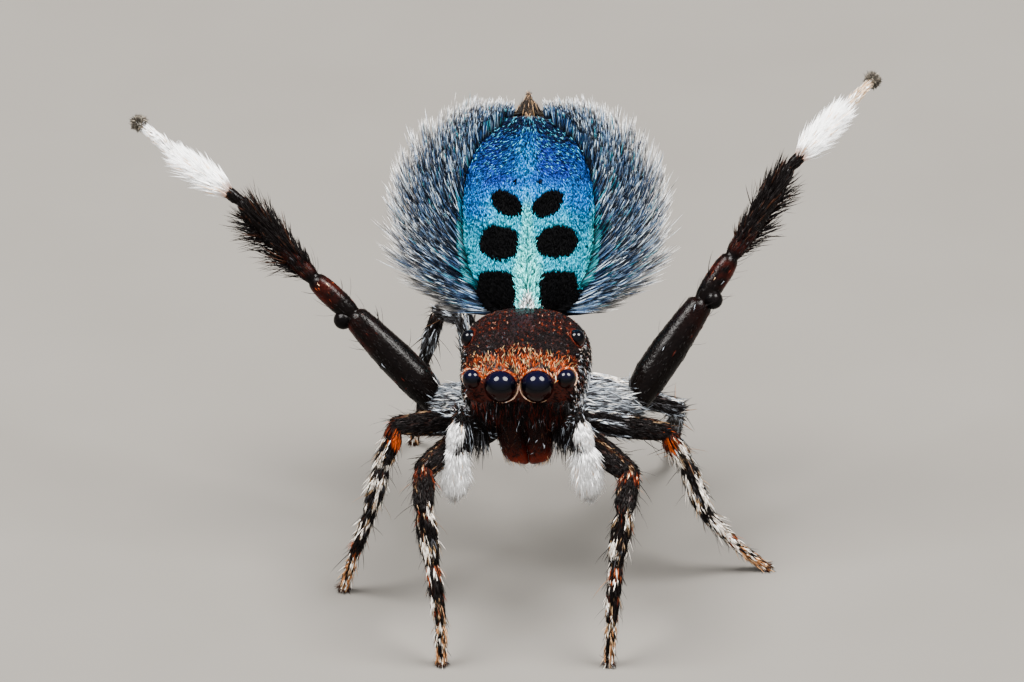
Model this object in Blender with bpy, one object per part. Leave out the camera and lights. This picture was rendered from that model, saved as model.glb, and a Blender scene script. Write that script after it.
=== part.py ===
"""Still, life-size model of a male peacock spider holding up its fan and its third legs.

Every size below is in millimetres and every angle in degrees. Each finished mesh is scaled
to metres at the end. +X is the spider's own left, its face looks along -Y, and +Z is up.
"""

import math
import random

import bmesh
import bpy
from mathutils import Matrix, Vector

MM = 0.001
GAP = 0.025
LIMB_SIDES = 8
BODY_SIDES = 20
EYE_SEGMENTS = 14

# Head and thorax, in their own frame: the middle between the sides, face along -Y
CARAPACE_WIDTH = 1.50
CARAPACE_LENGTH = 1.90
CARAPACE_TOP = 0.88
STERNUM_DEPTH = 0.50
BODY_HEIGHT = 2.40
HEAD_TURN = -4.0
HEAD_PITCH = -3.0
HEAD_ROLL = -2.4

# Eyes: side, forward and up from the middle of the carapace, then radius
EYES = {
    "eye_front_middle": (0.209, -0.915, 0.42, 0.190),
    "eye_front_side": (0.535, -0.855, 0.480, 0.115),
    "eye_middle_small": (0.640, -0.450, 0.570, 0.035),
    "eye_rear": (0.615, -0.150, 0.640, 0.100),
}

# Jaws, hung under the front eyes from a point forward and up of the carapace's middle
CHELICERA_LENGTH = 0.74
CHELICERA_WIDTH = 0.30
CHELICERA_DEPTH = 0.30
CHELICERA_FRONT = -0.80
CHELICERA_HIGH = 0.12
CHELICERA_LEAN = 0.07

# Legs: place of the trochanter beside the body, segment lengths and half widths
SEGMENTS = ("femur", "patella", "tibia", "metatarsus", "tarsus")
TROCHANTERS = {
    1: (0.62, -0.50, -0.42),
    2: (0.72, -0.12, -0.42),
    3: (1.06, 0.25, -0.36),
    4: (0.62, 0.78, -0.38),
}
# How much further out a trochanter stands than its twin, as the spider sways to one side
EXTRA_REACH = {(3, "left"): 0.16}
LENGTHS = {
    1: (1.00, 0.55, 0.62, 0.68, 0.55),
    2: (0.90, 0.50, 0.62, 0.62, 0.50),
    3: (1.38, 0.62, 1.23, 0.85, 0.62),
    4: (1.10, 0.50, 0.75, 0.80, 0.60),
}
HALF_WIDTHS = {
    1: (0.170, 0.130, 0.125, 0.092, 0.075),
    2: (0.160, 0.120, 0.115, 0.085, 0.070),
    3: (0.215, 0.140, 0.120, 0.078, 0.055),
    4: (0.145, 0.115, 0.100, 0.078, 0.065),
}

# Direction of each leg segment: compass angle from +X towards +Y, then rise.
# A standing leg has no rise for its tarsus, which runs from its ankle to the floor.
POSES = {
    (1, "right"): ((238, 3), (270, -30), (300, -72), (290, -67), (285, None)),
    (1, "left"): ((306, -2), (262, -23), (240, -73), (255, -72), (250, None)),
    (2, "right"): ((210, 11), (214, -66), (200, -75), (175, -72), (170, None)),
    (2, "left"): ((4, -13), (5, -60), (322, -64), (10, -52), (3, None)),
    (3, "right"): ((153, 38), (155, 36), (152, 39), (160, 30), (157, 34)),
    (3, "left"): ((38, 44), (41, 43), (43, 42), (34, 35), (48, 20)),
    (4, "right"): ((99, 13), (128, -16), (150, -74), (105, -78), (115, None)),
    (4, "left"): ((356, -17), (88, -38), (90, -44), (90, -52), (90, None)),
}
SIDES = {"right": -1, "left": 1}
COXA_ROOT = 0.34

# Swelling of each segment along its length: place, then share of its half width
PROFILES = {
    "femur": ((0.0, 0.80), (0.22, 1.0), (0.50, 1.0), (0.80, 0.86), (1.0, 0.72)),
    "patella": ((0.0, 0.86), (0.35, 1.0), (0.70, 1.0), (1.0, 0.82)),
    "tibia": ((0.0, 0.84), (0.25, 1.0), (0.65, 1.0), (1.0, 0.76)),
    "metatarsus": ((0.0, 1.0), (0.45, 1.0), (1.0, 0.86)),
    "tarsus": ((0.0, 0.92), (0.40, 1.0), (0.80, 0.96), (1.0, 0.90)),
}

# Palps: elbow and wrist from the middle of the carapace, then the hanging brush
PALP_ROOT = (0.34, -0.66, -0.34)
PALP_ELBOW = (0.66, -1.00, 0.06)
PALP_WRIST = (0.73, -1.12, -0.22)
PALP_TIP = (0.775, -1.12, -0.84)
PALP_ARM_HALF_WIDTH = 0.095
PALP_CORE_HALF_WIDTH = 0.088

# Abdomen, held up behind the head with its back turned forward
ABDOMEN_FOOT = (0.03, 1.16, 2.62)
ABDOMEN_LEAN = 13.0
PLATE_LENGTH = 2.40
PLATE_HALF_WIDTH = 0.80
ABDOMEN_DEPTH = 0.85
FRONT_BULGE = 0.12
ABDOMEN_SHARES = (0.02, 0.10, 0.22, 0.36, 0.50, 0.64, 0.78, 0.90, 0.97)
PLATE_ROUNDNESS = 2.4
SPINNERET_LENGTH = 0.26
SPINNERET_RADIUS = 0.13
PEDICEL_RADIUS = 0.11

# Fringe of the fan: a thin flap along the plate's edge carries rows of hair locks.
# Each place: root angle round the plate, direction of the locks there (both from
# sideways upwards), length of the outermost locks and width of the flap.
FLAP_SETBACK = 0.05
FLAP_THICKNESS = (0.10, 0.05)
FLAP_STEPS = 16
FRINGE_PLACES = (
    (-66, 12, 0.50, 0.10),
    (-45, 17, 0.49, 0.22),
    (-20, 40, 0.49, 0.52),
    (5, 70, 0.42, 0.62),
    (28, 84, 0.36, 0.38),
    (48, 90, 0.28, 0.20),
    (66, 92, 0.20, 0.09),
    (80, 92, 0.14, 0.05),
)
# Rows from the outermost to the innermost: place across the flap, tilt to the front, count
FRINGE_ROWS = ((0.86, -5.0, 26), (0.50, 6.0, 22), (0.12, 13.0, 18))
FRINGE_LOCK_WIDTH = 0.125
FRINGE_LOCK_THICKNESS = 0.034

# Brushes of hair on limbs: first and last place along the segment, count, length,
# lean from the limb, lock width and the share of locks kept on the upper side
BRUSHES = {
    "tibia": (0.06, 0.97, 32, 0.23, 42.0, 0.060, 0.45),
    "metatarsus": (0.05, 0.95, 24, 0.27, 24.0, 0.085, 1.0),
    "tarsus": (0.0, 0.80, 11, 0.20, 18.0, 0.060, 1.0),
    "palp": (0.02, 0.80, 23, 0.30, 19.0, 0.125, 1.0),
}
LONG_LOCK = ((0.0, 0.70), (0.42, 1.0), (0.78, 0.62), (1.0, 0.10))
SHORT_LOCK = ((0.0, 0.75), (0.50, 1.0), (1.0, 0.12))
LOCK_THICKNESS_SHARE = 0.38
SEED = 23


def clear_scene():
    for thing in list(bpy.data.objects):
        bpy.data.objects.remove(thing, do_unlink=True)


def make_material(name, colour, roughness, metallic=0.0):
    material = bpy.data.materials.new(name)
    material.use_nodes = True
    shader = material.node_tree.nodes["Principled BSDF"]
    shader.inputs["Base Color"].default_value = (*colour, 1.0)
    shader.inputs["Roughness"].default_value = roughness
    shader.inputs["Metallic"].default_value = metallic
    return material


def heading(turn, rise):
    """Unit vector of a compass angle and a rise above the horizontal."""
    flat = math.cos(math.radians(rise))
    across = flat * math.cos(math.radians(turn))
    back = flat * math.sin(math.radians(turn))
    return Vector((across, back, math.sin(math.radians(rise))))


def head_matrix():
    turn = Matrix.Rotation(math.radians(HEAD_TURN), 4, "Z")
    pitch = Matrix.Rotation(math.radians(HEAD_PITCH), 4, "X")
    roll = Matrix.Rotation(math.radians(HEAD_ROLL), 4, "Y")
    return Matrix.Translation((0.0, 0.0, BODY_HEIGHT)) @ turn @ pitch @ roll


def section(centre, across, up, half_across, half_up, sides, square=2.0):
    """Closed ring of points, an ellipse where square is 2 and boxier above that."""
    points = []
    for index in range(sides):
        angle = 2.0 * math.pi * (index + 0.5) / sides
        cosine, sine = math.cos(angle), math.sin(angle)
        along = math.copysign(abs(cosine) ** (2.0 / square), cosine)
        rise = math.copysign(abs(sine) ** (2.0 / square), sine)
        points.append(centre + across * (half_across * along) + up * (half_up * rise))
    return points


def loft(name, rings):
    """Closed surface through rings of equal count; its two ends are capped."""
    mesh = bpy.data.meshes.new(name)
    builder = bmesh.new()
    rows = [[builder.verts.new(point) for point in ring] for ring in rings]
    for low, high in zip(rows, rows[1:]):
        for index in range(len(low)):
            after = (index + 1) % len(low)
            builder.faces.new((low[index], low[after], high[after], high[index]))
    builder.faces.new(rows[0])
    builder.faces.new(rows[-1])
    bmesh.ops.triangulate(builder, faces=builder.faces[:])
    bmesh.ops.recalc_face_normals(builder, faces=builder.faces[:])
    builder.to_mesh(mesh)
    builder.free()
    piece = bpy.data.objects.new(name, mesh)
    PARTS.objects.link(piece)
    return piece


def keep_largest_shell(mesh):
    """Drop every scrap but the shell with the most faces."""
    builder = bmesh.new()
    builder.from_mesh(mesh)
    seen = set()
    shells = []
    for start in builder.faces:
        if start in seen:
            continue
        seen.add(start)
        shell, queue = [start], [start]
        while queue:
            for edge in queue.pop().edges:
                for face in edge.link_faces:
                    if face not in seen:
                        seen.add(face)
                        shell.append(face)
                        queue.append(face)
        shells.append(shell)
    largest = max(shells, key=len)
    scraps = [face for shell in shells if shell is not largest for face in shell]
    bmesh.ops.delete(builder, geom=scraps, context="FACES")
    bmesh.ops.triangulate(builder, faces=builder.faces[:])
    builder.to_mesh(mesh)
    builder.free()


def cut_clear(piece, cutter):
    """Take the cutter's volume out of a piece and keep what is left in one body."""
    modifier = piece.modifiers.new("clearance", "BOOLEAN")
    modifier.operation = "DIFFERENCE"
    modifier.object = cutter
    bpy.context.view_layer.update()
    evaluated = piece.evaluated_get(bpy.context.evaluated_depsgraph_get())
    mesh = bpy.data.meshes.new_from_object(evaluated)
    piece.modifiers.clear()
    piece.data = mesh
    keep_largest_shell(mesh)


def as_cutter(piece):
    """Move a grown copy of a part into the collection of cutters."""
    PARTS.objects.unlink(piece)
    CUTTERS.objects.link(piece)
    piece.hide_render = True
    piece.display_type = "WIRE"
    return piece


def fuse(piece, extras):
    """Join loose closed pieces to a piece with one union and keep one body."""
    group = bpy.data.collections.new(f"{piece.name}_extras")
    bpy.context.scene.collection.children.link(group)
    for extra in extras:
        PARTS.objects.unlink(extra)
        group.objects.link(extra)
    modifier = piece.modifiers.new("fused", "BOOLEAN")
    modifier.operation = "UNION"
    modifier.operand_type = "COLLECTION"
    modifier.solver = "MANIFOLD"
    modifier.collection = group
    bpy.context.view_layer.update()
    evaluated = piece.evaluated_get(bpy.context.evaluated_depsgraph_get())
    mesh = bpy.data.meshes.new_from_object(evaluated)
    piece.modifiers.clear()
    piece.data = mesh
    for extra in extras:
        bpy.data.objects.remove(extra, do_unlink=True)
    bpy.data.collections.remove(group)
    keep_largest_shell(mesh)


def add_lock(root, direction, flat, length, width, thickness, bend, stations):
    """Flat, tapered, bent lock of hair; flat is the normal of its broad side."""
    across = direction.cross(flat).normalized()
    through = across.cross(direction).normalized()
    rings = []
    for place, share in stations:
        centre = root + direction * (length * place) + bend * (length * place ** 2)
        rings.append(section(centre, across, through, width / 2 * share, thickness / 2 * share, 4))
    return loft("lock", rings)


def tilt_onto_plane(ring, along, centre, normal, share):
    """Slide a ring's points along the limb, towards the plane where two segments meet."""
    slope = along.dot(normal)
    return [point + along * (share * (centre - point).dot(normal) / slope) for point in ring]


def limb_rings(start, end, half_width, profile, start_face=None, end_face=None, sides=LIMB_SIDES):
    """Rings of one segment; a face is the (point, normal) of a plane that its end lies in."""
    along = (end - start).normalized()
    across = along.cross(Vector((0.0, 0.0, 1.0))).normalized()
    up = across.cross(along)
    length = (end - start).length
    rings = []
    for place, swell in profile:
        width = half_width * swell
        ring = section(start.lerp(end, place), across, up, width, width, sides)
        for face, distance in ((start_face, place * length), (end_face, (1.0 - place) * length)):
            if face:
                share = max(0.0, 1.0 - distance / (2.5 * half_width))
                shift = face[0] - (start if face is start_face else end)
                ring = tilt_onto_plane(ring, along, start.lerp(end, place) + shift * share, face[1], share)
        rings.append(ring)
    return rings


def brush_locks(start, end, half_width, kind, draw):
    """Locks of hair round a limb, rooted in it and leaning towards its tip."""
    first, last, count, length, lean, width, top_share = BRUSHES[kind]
    along = (end - start).normalized()
    across = along.cross(Vector((0.0, 0.0, 1.0))).normalized()
    up = across.cross(along)
    locks = []
    for index in range(count):
        place = first + (last - first) * (index + 0.5) / count
        turn = math.radians(137.5 * index + draw.uniform(-14, 14))
        outward = across * math.cos(turn) + up * math.sin(turn)
        if math.sin(turn) > 0.35 and draw.random() > top_share:
            continue
        angle = math.radians(lean + draw.uniform(-6, 6))
        direction = along * math.cos(angle) + outward * math.sin(angle)
        normal = outward * math.cos(angle) - along * math.sin(angle)
        root = start.lerp(end, place) + outward * (half_width * 0.45)
        reach = length * draw.uniform(0.85, 1.1) + half_width * 0.5
        bend = (along * 0.10 - outward * 0.06) * draw.uniform(0.4, 1.2)
        thickness = width * LOCK_THICKNESS_SHARE
        locks.append(add_lock(root, direction, normal, reach, width, thickness, bend, SHORT_LOCK))
    return locks


def add_prosoma(frame):
    """Head and thorax: a box with rounded edges in front that falls away behind."""

    def rings(grow):
        # place from front to back, half width, top, bottom, boxiness
        stations = (
            (-0.93, 0.56, 0.52, 0.16, 3.2),
            (-0.86, 0.64, 0.63, 0.10, 3.2),
            (-0.66, 0.69, 0.74, -0.14, 3.0),
            (-0.35, 0.72, 0.83, -0.45, 2.8),
            (0.00, 0.74, CARAPACE_TOP, -STERNUM_DEPTH, 2.6),
            (0.30, CARAPACE_WIDTH / 2, 0.82, -STERNUM_DEPTH, 2.4),
            (0.58, 0.68, 0.60, -0.46, 2.2),
            (0.80, 0.50, 0.30, -0.34, 2.0),
            (CARAPACE_LENGTH / 2, 0.20, 0.06, -0.16, 2.0),
        )
        across, up = Vector((1, 0, 0)), Vector((0, 0, 1))
        result = []
        for place, half_width, top, bottom, square in stations:
            centre = Vector((0.0, place + math.copysign(grow, place), (top + bottom) / 2))
            half_height = (top - bottom) / 2 + grow
            ring = section(centre, across, up, half_width + grow, half_height, BODY_SIDES, square)
            for point in ring:
                below = max(0.0, -0.05 - point.z) / STERNUM_DEPTH
                point.x *= 1.0 - 0.55 * min(1.0, below)
            result.append([frame @ point for point in ring])
        return result

    body = loft("prosoma", rings(0.0))
    grown = as_cutter(loft("prosoma_clearance", rings(GAP)))
    return body, grown


def sphere(name, centre, radius, segments):
    mesh = bpy.data.meshes.new(name)
    builder = bmesh.new()
    bmesh.ops.create_uvsphere(builder, u_segments=segments, v_segments=segments // 2, radius=radius)
    builder.to_mesh(mesh)
    builder.free()
    mesh.transform(Matrix.Translation(centre) @ Matrix.Rotation(math.radians(90), 4, "X"))
    piece = bpy.data.objects.new(name, mesh)
    PARTS.objects.link(piece)
    return piece


def add_eyes(frame, prosoma):
    """Eight round eyes, each in a socket of the carapace."""
    for kind, (side_place, place, height, radius) in EYES.items():
        segments = max(6, 2 * round(EYE_SEGMENTS * (radius / 0.19) ** 0.5 / 2))
        for side, sign in SIDES.items():
            centre = frame @ Vector((sign * side_place, place, height))
            eye = sphere(f"{kind}_{side}", centre, radius, segments)
            eye.data.materials.append(MATERIALS["eye"])
            socket = as_cutter(sphere(f"{kind}_{side}_socket", centre, radius + GAP, segments))
            cut_clear(prosoma, socket)


def add_chelicerae(frame, clearance):
    """Two jaws that hang under the front eyes, with their flat inner sides together."""
    # share of the length downwards, share of the width, share of the depth
    stations = ((0.0, 0.86, 0.86), (0.25, 1.0, 1.0), (0.6, 1.0, 1.0), (0.85, 0.88, 0.84), (1.0, 0.46, 0.5))
    for side, sign in SIDES.items():
        rings = []
        for drop, wide, deep in stations:
            half_width = CHELICERA_WIDTH / 2 * wide
            side_place = CHELICERA_LEAN * drop + sign * (GAP / 2 + half_width)
            centre = Vector((side_place, CHELICERA_FRONT, CHELICERA_HIGH - CHELICERA_LENGTH * drop))
            half_depth = CHELICERA_DEPTH / 2 * deep
            ring = section(centre, Vector((1, 0, 0)), Vector((0, 1, 0)), half_width, half_depth, 12, 2.4)
            rings.append([frame @ point for point in ring])
        jaw = loft(f"chelicera_{side}", rings)
        jaw.data.materials.append(MATERIALS["face"])
        cut_clear(jaw, clearance)


def leg_joints(number, side, frame):
    """Joint places of a leg, from its coxa's root to its tip, and its directions."""
    sign = SIDES[side]
    out, place, height = TROCHANTERS[number]
    out += EXTRA_REACH.get((number, side), 0.0)
    root = frame @ Vector((sign * COXA_ROOT, place * 0.85, height + 0.04))
    joint = frame @ Vector((sign * out, place, height))
    joints = [root, joint]
    for length, (turn, rise) in zip(LENGTHS[number], POSES[number, side]):
        if rise is None:
            rise = -math.degrees(math.asin(joint.z / length))
        joint = joint + heading(turn, rise) * length
        joints.append(joint)
    return joints


def joint_plane(before, joint, after, shift):
    """Plane that halves the bend at a joint, moved by shift along the limb."""
    normal = ((joint - before).normalized() + (after - joint).normalized()).normalized()
    return joint + normal * shift, normal


def add_leg(number, side, frame, clearance):
    joints = leg_joints(number, side, frame)
    standing = POSES[number, side][-1][1] is None
    widths = HALF_WIDTHS[number]
    for index, segment in enumerate(SEGMENTS):
        start, end = joints[index + 1], joints[index + 2]
        start_face = joint_plane(joints[index], start, end, GAP / 2)
        end_face = None
        if index < len(SEGMENTS) - 1:
            end_face = joint_plane(start, end, joints[index + 3], -GAP / 2)
        elif standing:
            end_face = (end, Vector((0.0, 0.0, 1.0)))
        if segment == "femur":
            coxa_face = joint_plane(joints[0], start, end, 0.0)
            coxa = ((0.0, 0.80), (0.45, 0.92), (0.85, 0.86))
            rings = limb_rings(joints[0], start, widths[0], coxa, None, coxa_face)
            start_face = coxa_face
            rings += limb_rings(start, end, widths[0], PROFILES[segment], start_face, end_face)
        else:
            rings = limb_rings(start, end, widths[index], PROFILES[segment], start_face, end_face)
        piece = loft(f"leg{number}_{side}_{segment}", rings)
        piece.data.materials.append(MATERIALS["leg_dark" if number == 3 else "leg"])
        if segment == "femur":
            cut_clear(piece, clearance)
        if number == 3 and segment in BRUSHES:
            draw = random.Random(f"{SEED} {side} {segment}")
            fuse(piece, brush_locks(start, end, widths[index], segment, draw))


def add_palps(frame, clearance):
    """Feelers beside the jaws: a bent arm and a hanging brush."""
    for side, sign in SIDES.items():
        places = []
        for out, place, height in (PALP_ROOT, PALP_ELBOW, PALP_WRIST, PALP_TIP):
            places.append(frame @ Vector((sign * out, place, height)))
        root, elbow, wrist, tip = places
        bend = joint_plane(root, elbow, wrist, 0.0)
        wrist_in = joint_plane(elbow, wrist, tip, -GAP / 2)
        wrist_out = joint_plane(elbow, wrist, tip, GAP / 2)
        upper = ((0.0, 0.9), (0.4, 1.0), (0.9, 0.9))
        lower = ((0.10, 0.95), (0.55, 1.05), (1.0, 1.0))
        rings = limb_rings(root, elbow, PALP_ARM_HALF_WIDTH, upper, None, bend)
        rings += limb_rings(elbow, wrist, PALP_ARM_HALF_WIDTH, lower, bend, wrist_in)
        arm = loft(f"palp_{side}_arm", rings)
        arm.data.materials.append(MATERIALS["leg"])
        cut_clear(arm, clearance)
        swell = ((0.0, 0.90), (0.25, 1.0), (0.55, 1.0), (0.80, 0.80), (1.0, 0.25))
        brush = loft(f"palp_{side}_brush", limb_rings(wrist, tip, PALP_CORE_HALF_WIDTH, swell, wrist_out))
        draw = random.Random(f"{SEED} palp {side}")
        fuse(brush, brush_locks(wrist, tip, PALP_CORE_HALF_WIDTH, "palp", draw))
        brush.data.materials.append(MATERIALS["white_hair"])


def abdomen_matrix():
    lean = Matrix.Rotation(math.radians(-ABDOMEN_LEAN), 4, "X")
    return Matrix.Translation(ABDOMEN_FOOT) @ lean


def plate_half_width(share):
    """Half width of the abdomen at a share of its length, from foot to tip."""
    offset = abs(2.0 * share - 1.0)
    return PLATE_HALF_WIDTH * (1.0 - offset ** PLATE_ROUNDNESS) ** (1.0 / PLATE_ROUNDNESS)


def add_abdomen():
    """Abdomen: a flat front, which is its back, and a round belly behind."""
    frame = abdomen_matrix()
    rings = []
    for share in ABDOMEN_SHARES:
        half_width = plate_half_width(share)
        depth = ABDOMEN_DEPTH * (half_width / PLATE_HALF_WIDTH) ** 0.8
        ring = []
        for index in range(BODY_SIDES):
            angle = 2.0 * math.pi * (index + 0.5) / BODY_SIDES
            across, back = math.cos(angle), math.sin(angle)
            reach = depth if back > 0 else FRONT_BULGE * depth
            ring.append(frame @ Vector((half_width * across, reach * back, PLATE_LENGTH * share)))
        rings.append(ring)
    body = loft("abdomen", rings)
    body.data.materials.append(MATERIALS["plate"])


def plate_edge(turn):
    """Share of the plate's length and half width where a root angle meets its edge."""
    lean = math.sin(math.radians(turn))
    share = 0.5 + 0.5 * math.copysign(abs(lean) ** (2 / PLATE_ROUNDNESS), lean)
    return share, plate_half_width(share)


def between_places(turn):
    """Direction, length and flap width at a root angle, between the named places."""
    for low, high in zip(FRINGE_PLACES, FRINGE_PLACES[1:]):
        if turn <= high[0]:
            part = (turn - low[0]) / (high[0] - low[0])
            return [first + (second - first) * part for first, second in zip(low[1:], high[1:])]
    return FRINGE_PLACES[-1][1:]


def flap_point(turn, across, sign):
    """Point on the flap's middle surface, at a share of its width from the plate's edge."""
    share, half_width = plate_edge(turn)
    outward = between_places(turn)[2] * across
    lean = math.radians(turn)
    side = half_width + GAP + outward * math.cos(lean)
    return Vector((sign * side, FLAP_SETBACK, PLATE_LENGTH * share + outward * math.sin(lean)))


def fringe_locks(frame, sign, draw):
    """Rows of locks that stand out of one flap and sweep outwards and up."""
    first, last = FRINGE_PLACES[0][0], FRINGE_PLACES[-1][0]
    back = (frame.to_3x3() @ Vector((0.0, 1.0, 0.0))).normalized()
    locks = []
    for across, tilt, count in FRINGE_ROWS:
        for index in range(count):
            place = (index + 0.5 + draw.uniform(-0.18, 0.18)) / count
            turn = first + 2.0 + (last - first - 4.0) * place
            aim, length, width = between_places(turn)
            aim = math.radians(aim + draw.uniform(-3, 3))
            rise = math.radians(tilt + draw.uniform(-2, 2))
            local = Vector((sign * math.cos(aim), -math.sin(rise), math.sin(aim))).normalized()
            root = frame @ flap_point(turn, across, sign)
            reach = (length + width * (1.0 - across) * 0.8) * draw.uniform(0.90, 1.03)
            bend = Vector((0.0, 0.0, 0.04)) + back * (0.006 * tilt)
            size = (reach, FRINGE_LOCK_WIDTH, FRINGE_LOCK_THICKNESS)
            locks.append(add_lock(root, frame.to_3x3() @ local, back, *size, bend, LONG_LOCK))
    return locks


def add_fringe():
    """Fan of hair on each side of the abdomen: a thin flap fused with its locks."""
    frame = abdomen_matrix()
    first, last = FRINGE_PLACES[0][0], FRINGE_PLACES[-1][0]
    inner, outer = (thickness / 2 for thickness in FLAP_THICKNESS)
    for side, sign in SIDES.items():
        rings = []
        for step in range(FLAP_STEPS + 1):
            turn = first + (last - first) * step / FLAP_STEPS
            corners = ((0.0, inner), (1.0, outer), (1.0, -outer), (0.0, -inner))
            ring = [flap_point(turn, across, sign) + Vector((0.0, deep, 0.0)) for across, deep in corners]
            rings.append([frame @ point for point in ring])
        flap = loft(f"fringe_{side}", rings)
        flap.data.materials.append(MATERIALS["fringe"])
        fuse(flap, fringe_locks(frame, sign, random.Random(f"{SEED} fringe {side}")))


def add_tail_and_waist(frame):
    """Spinnerets on the abdomen's tip and the thin waist under it."""
    abdomen = abdomen_matrix()
    top = PLATE_LENGTH * ABDOMEN_SHARES[-1]
    base = abdomen @ Vector((0.0, ABDOMEN_DEPTH * 0.26, top + GAP))
    tip = abdomen @ Vector((0.0, ABDOMEN_DEPTH * 0.28, top + SPINNERET_LENGTH))
    taper = ((0.0, 1.0), (0.5, 0.8), (1.0, 0.4))
    cone = loft("spinnerets", limb_rings(base, tip, SPINNERET_RADIUS, taper))
    cone.data.materials.append(MATERIALS["leg"])
    start = frame @ Vector((0.0, CARAPACE_LENGTH / 2 + 2 * GAP, -0.06))
    end = abdomen @ Vector((0.0, ABDOMEN_DEPTH * 0.19, PLATE_LENGTH * ABDOMEN_SHARES[0] - GAP))
    pinch = ((0.0, 1.0), (0.5, 0.9), (1.0, 1.0))
    waist = loft("pedicel", limb_rings(start, end, PEDICEL_RADIUS, pinch))
    waist.data.materials.append(MATERIALS["face"])


def stand_on_origin():
    """Scale to metres and put the middle of the model's base at the origin."""
    corners = [piece.matrix_world @ Vector(corner) for piece in PARTS.objects for corner in piece.bound_box]
    low = Vector((min(corner[axis] for corner in corners) for axis in range(3)))
    high = Vector((max(corner[axis] for corner in corners) for axis in range(3)))
    middle = Vector(((low.x + high.x) / 2, (low.y + high.y) / 2, low.z))
    for piece in PARTS.objects:
        piece.data.transform(Matrix.Scale(MM, 4) @ Matrix.Translation(-middle))
        piece.data.shade_smooth()
        piece.data.set_sharp_from_angle(angle=math.radians(50))


clear_scene()
PARTS = bpy.data.collections.new("peacock_spider")
CUTTERS = bpy.data.collections.new("cutters")
bpy.context.scene.collection.children.link(PARTS)
bpy.context.scene.collection.children.link(CUTTERS)
MATERIALS = {
    "carapace": make_material("carapace", (0.16, 0.06, 0.035), 0.6),
    "face": make_material("face", (0.07, 0.02, 0.015), 0.35),
    "eye": make_material("eye", (0.01, 0.01, 0.02), 0.05),
    "leg": make_material("leg", (0.10, 0.07, 0.05), 0.6),
    "leg_dark": make_material("leg_dark", (0.03, 0.012, 0.01), 0.4),
    "white_hair": make_material("white_hair", (0.85, 0.85, 0.82), 0.8),
    "plate": make_material("plate", (0.05, 0.35, 0.55), 0.4),
    "fringe": make_material("fringe", (0.12, 0.20, 0.32), 0.6),
}
HEAD = head_matrix()
PROSOMA, PROSOMA_CLEARANCE = add_prosoma(HEAD)
PROSOMA.data.materials.append(MATERIALS["carapace"])
add_eyes(HEAD, PROSOMA)
add_chelicerae(HEAD, PROSOMA_CLEARANCE)
for leg_number in LENGTHS:
    for leg_side in SIDES:
        add_leg(leg_number, leg_side, HEAD, PROSOMA_CLEARANCE)
add_palps(HEAD, PROSOMA_CLEARANCE)
add_abdomen()
add_fringe()
add_tail_and_waist(HEAD)
stand_on_origin()
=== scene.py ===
"""Looks of the peacock spider model: skins, eyes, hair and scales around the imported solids.

Sizes are in millimetres in the model's own frame: +X is the spider's left, its face looks
along -Y and +Z is up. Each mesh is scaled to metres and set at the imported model's place
when it is made. Legs are counted from the front, and a mark says where on a limb something
is: 0 at the root, 1 at the start of the femur, up to 6 at the tip of the foot.
"""

import math
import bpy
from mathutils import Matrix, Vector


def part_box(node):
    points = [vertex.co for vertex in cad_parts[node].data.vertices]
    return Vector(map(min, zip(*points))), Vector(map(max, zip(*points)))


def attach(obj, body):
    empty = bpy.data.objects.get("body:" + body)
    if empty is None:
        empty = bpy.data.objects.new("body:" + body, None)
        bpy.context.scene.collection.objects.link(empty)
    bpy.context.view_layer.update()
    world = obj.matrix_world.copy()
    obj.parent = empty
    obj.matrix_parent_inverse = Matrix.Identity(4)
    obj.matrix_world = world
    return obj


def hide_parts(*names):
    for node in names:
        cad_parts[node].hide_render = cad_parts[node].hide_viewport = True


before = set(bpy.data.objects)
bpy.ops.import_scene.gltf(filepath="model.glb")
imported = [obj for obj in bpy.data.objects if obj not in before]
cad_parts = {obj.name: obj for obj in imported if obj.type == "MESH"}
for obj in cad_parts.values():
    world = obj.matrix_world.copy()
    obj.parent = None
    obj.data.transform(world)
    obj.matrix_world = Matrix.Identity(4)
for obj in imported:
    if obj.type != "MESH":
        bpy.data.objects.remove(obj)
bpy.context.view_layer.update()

from types import SimpleNamespace

import bpy
import numpy as np
from mathutils import Matrix, Vector

MM = 0.001
UP = np.array((0.0, 0.0, 1.0))
SEED = 7
SIDES = {"right": -1, "left": 1}

# Sizes shared with the solids
BODY_HEIGHT = 2.40
HEAD_TURN = -4.0
HEAD_PITCH = -3.0
HEAD_ROLL = -2.4
CARAPACE_TOP = 0.88
STERNUM_DEPTH = 0.50
EYES = {
    "eye_front_middle": (0.209, -0.915, 0.42, 0.190),
    "eye_front_side": (0.535, -0.855, 0.480, 0.115),
    "eye_middle_small": (0.640, -0.450, 0.570, 0.035),
    "eye_rear": (0.615, -0.150, 0.640, 0.100),
}
SEGMENTS = ("femur", "patella", "tibia", "metatarsus", "tarsus")
TROCHANTERS = {
    1: (0.62, -0.50, -0.42),
    2: (0.72, -0.12, -0.42),
    3: (1.06, 0.25, -0.36),
    4: (0.62, 0.78, -0.38),
}
EXTRA_REACH = {(3, "left"): 0.16}
LENGTHS = {
    1: (1.00, 0.55, 0.62, 0.68, 0.55),
    2: (0.90, 0.50, 0.62, 0.62, 0.50),
    3: (1.38, 0.62, 1.23, 0.85, 0.62),
    4: (1.10, 0.50, 0.75, 0.80, 0.60),
}
HALF_WIDTHS = {
    1: (0.170, 0.130, 0.125, 0.092, 0.075),
    2: (0.160, 0.120, 0.115, 0.085, 0.070),
    3: (0.215, 0.140, 0.120, 0.078, 0.055),
    4: (0.145, 0.115, 0.100, 0.078, 0.065),
}
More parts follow.
